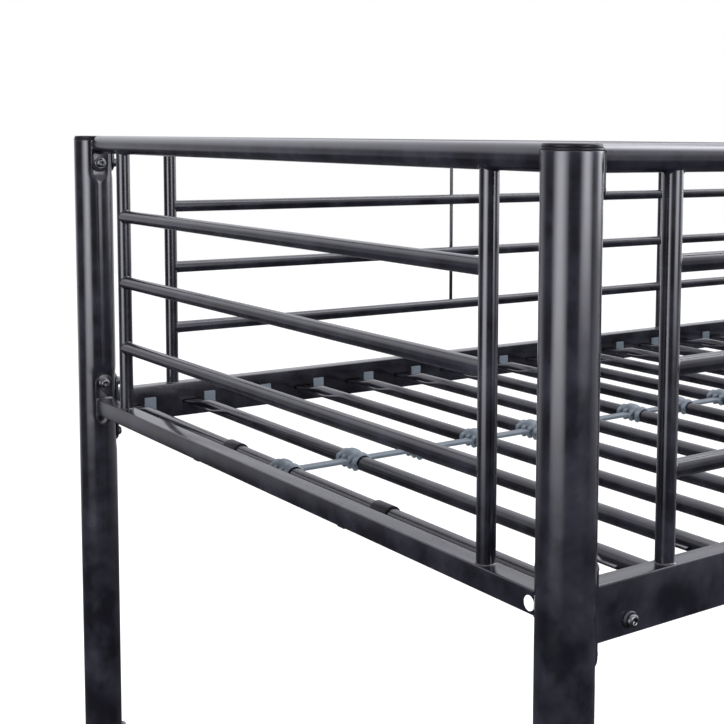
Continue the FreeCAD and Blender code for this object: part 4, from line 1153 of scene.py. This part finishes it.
for node, slot in (("post_joint_sleeves", COAT), ("insert_nuts", ZINC)):
    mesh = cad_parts[node].data
    for number in range(len(mesh.materials)):
        mesh.materials[number] = slot
    if not mesh.materials:
        mesh.materials.append(slot)


# ---- floor, light and camera ----


def make_floor():
    mesh = bpy.data.meshes.new("floor")
    reach = 14.0
    corners = [(-reach, -reach, 0), (reach, -reach, 0), (reach, reach, 0), (-reach, reach, 0)]
    mesh.from_pydata(corners, [], [(0, 1, 2, 3)])
    floor = bpy.data.objects.new("floor", mesh)
    bpy.context.scene.collection.objects.link(floor)
    material, nodes, shader, place = new_material("pale_floor")
    cloud = noise(nodes, place, 1.5, 3, 0.5)
    nodes.link(blend(nodes, cloud, (0.86, 0.86, 0.86), (0.90, 0.90, 0.90)), shader.inputs["Base Color"])
    shader.inputs["Roughness"].default_value = 0.9
    shader.inputs["Specular IOR Level"].default_value = 0.1
    shader.inputs["Emission Color"].default_value = (1, 1, 1, 1)
    shader.inputs["Emission Strength"].default_value = 0.2
    mesh.materials.append(material)
    floor.visible_glossy = False


STUDIO_TINT = (0.93, 0.935, 1.0)


def area_light(name, place, target, width, height, power):
    light = bpy.data.lights.new(name, "AREA")
    light.shape = "RECTANGLE"
    light.size = width
    light.size_y = height
    light.energy = power
    light.color = STUDIO_TINT
    lamp = bpy.data.objects.new(name, light)
    lamp.location = place
    lamp.rotation_euler = (Vector(target) - Vector(place)).to_track_quat("-Z", "Y").to_euler()
    lamp.visible_camera = False
    bpy.context.scene.collection.objects.link(lamp)


WALL_AZIMUTH = 38
WALL_LIGHT = 1.0
GAP_LIGHT = 0.22
CEILING_LIGHT = 1.6
FLOOR_LIGHT = 0.10
# A soft glow that only gloss sees: azimuth, half width in degrees, light, and the sine of the
# elevation where it fades out and where it is full.
SIDE_GLOW = (357, 24, 4.5, -0.10, -0.01)


def mix_values(nodes, factor, first, second):
    """A value that goes from a socket to a number as the factor goes from 0 to 1."""
    made = nodes.add("ShaderNodeMix", data_type="FLOAT")
    nodes.link(factor, made.inputs["Factor"])
    nodes.link(first, made.inputs["A"])
    made.inputs["B"].default_value = second
    return made.outputs["Result"]


def facing(nodes, heading, azimuth):
    """How closely a level direction points along an azimuth, from -1 to 1."""
    made = nodes.add("ShaderNodeVectorMath", operation="DOT_PRODUCT")
    nodes.link(heading, made.inputs[0])
    turn = math.radians(azimuth)
    made.inputs[1].default_value = (math.cos(turn), math.sin(turn), 0.0)
    return made.outputs["Value"]


def make_world():
    world = bpy.data.worlds.new("studio")
    bpy.context.scene.world = world
    world.use_nodes = True
    nodes = Nodes(world.node_tree)
    ground = world.node_tree.nodes["Background"]
    ground.inputs["Color"].default_value = (1, 1, 1, 1)
    ground.inputs["Strength"].default_value = 1.0
    # Gloss sees a white wall behind the bed, a bright ceiling, a dim room in front and a dark floor.
    direction = nodes.add("ShaderNodeTexCoord").outputs["Generated"]
    parts = nodes.add("ShaderNodeSeparateXYZ")
    nodes.link(direction, parts.inputs[0])
    level = nodes.add("ShaderNodeCombineXYZ")
    nodes.link(parts.outputs["X"], level.inputs["X"])
    nodes.link(parts.outputs["Y"], level.inputs["Y"])
    normalize = nodes.add("ShaderNodeVectorMath", operation="NORMALIZE")
    nodes.link(level.outputs[0], normalize.inputs[0])
    heading = normalize.outputs[0]
    wall = remap(nodes, facing(nodes, heading, WALL_AZIMUTH), 0.0, 0.36, GAP_LIGHT, WALL_LIGHT)
    height = parts.outputs["Z"]
    ceiling = mix_values(nodes, remap(nodes, height, 0.16, 0.40, 0, 1), wall, CEILING_LIGHT)
    room = mix_values(nodes, remap(nodes, height, -0.19, -0.29, 0, 1), ceiling, FLOOR_LIGHT)
    azimuth, half, light, out, full = SIDE_GLOW
    sideways = remap(nodes, facing(nodes, heading, azimuth), math.cos(math.radians(half + 2)),
                     math.cos(math.radians(6)), 0, light, "SMOOTHSTEP")
    risen = remap(nodes, height, out, full, 0, 1, "SMOOTHSTEP")
    room = combine(nodes, "ADD", room, combine(nodes, "MULTIPLY", sideways, risen))
    dim = nodes.add("ShaderNodeBackground")
    nodes.link(room, dim.inputs["Strength"])
    dim.inputs["Color"].default_value = (*STUDIO_TINT, 1)
    path = nodes.add("ShaderNodeLightPath")
    mix = nodes.add("ShaderNodeMixShader")
    nodes.link(path.outputs["Is Glossy Ray"], mix.inputs[0])
    nodes.link(ground.outputs[0], mix.inputs[1])
    nodes.link(dim.outputs[0], mix.inputs[2])
    nodes.link(mix.outputs[0], world.node_tree.nodes["World Output"].inputs["Surface"])


make_floor()
make_world()


def polar(azimuth, distance, height, about):
    turn = math.radians(azimuth)
    return (about[0] + math.cos(turn) * distance, about[1] + math.sin(turn) * distance, height)


NEAR_POST = Block(np.array([*map(np.array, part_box("upper_post_front_left"))])).middle
NEAR_TOP = (NEAR_POST[0], NEAR_POST[1], 1.6)


def softbox(name, azimuth, distance, light, half_angles, bottoms, top):
    """A box light with soft edges: upright sheets behind each other, each wider and lower than the last."""
    for i, (half, bottom) in enumerate(zip(half_angles, bottoms)):
        reach = distance + 0.02 * i
        width = 2 * reach * math.tan(math.radians(half))
        low = NEAR_TOP[2] - reach * math.tan(math.radians(bottom))
        high = top + 0.06 * i
        place = polar(azimuth, reach, (low + high) / 2, NEAR_TOP)
        power = light / len(half_angles) * math.pi * width * (high - low)
        area_light(f"{name}_{i}", place, (*NEAR_TOP[:2], place[2]), width, high - low, power)


softbox("left_softbox", 190, 2.9, 9.0, (9, 14, 19, 24, 29), (8, 12, 15, 17, 19.5), 2.4)
softbox("right_softbox", 286, 2.0, 10.0, (7, 11, 15, 19, 24), (3, 5, 7, 9, 12), 2.3)
area_light("overhead", (0, 0.4, 3.6), (0, 0.1, 0), 3.0, 2.2, 60)


# The camera's turns in radians, and its place from the near post's axis and the bed's top.
CAMERA_YAW, CAMERA_PITCH, CAMERA_ROLL = 0.90104, 0.09338, -0.01122
CAMERA_FROM_POST = (-0.6153, -0.7117, 0.0026)


def make_camera():
    yaw, pitch, roll = CAMERA_YAW, CAMERA_PITCH, CAMERA_ROLL
    forward = Vector((math.cos(yaw) * math.cos(pitch), math.sin(yaw) * math.cos(pitch), -math.sin(pitch)))
    right = Vector((math.sin(yaw), -math.cos(yaw), 0))
    down = forward.cross(right)
    c, s = math.cos(roll), math.sin(roll)
    right, down = c * right + s * down, -s * right + c * down
    turn = Matrix((right, -down, -forward)).transposed().to_4x4()
    data = bpy.data.cameras.new("camera")
    data.lens = 65.10
    data.sensor_width = 36
    data.shift_x = -0.2103
    data.shift_y = -0.1395
    data.clip_start = 0.01
    camera = bpy.data.objects.new("camera", data)
    x, y, z = CAMERA_FROM_POST
    camera.matrix_world = Matrix.Translation((NEAR_POST[0] + x, NEAR_POST[1] + y, CAD_BOX[1].z + z)) @ turn
    bpy.context.scene.collection.objects.link(camera)
    bpy.context.scene.camera = camera


make_camera()
bpy.context.scene.view_settings.view_transform = "Standard"
bpy.context.scene.view_settings.look = "None"

bpy.context.view_layer.update()
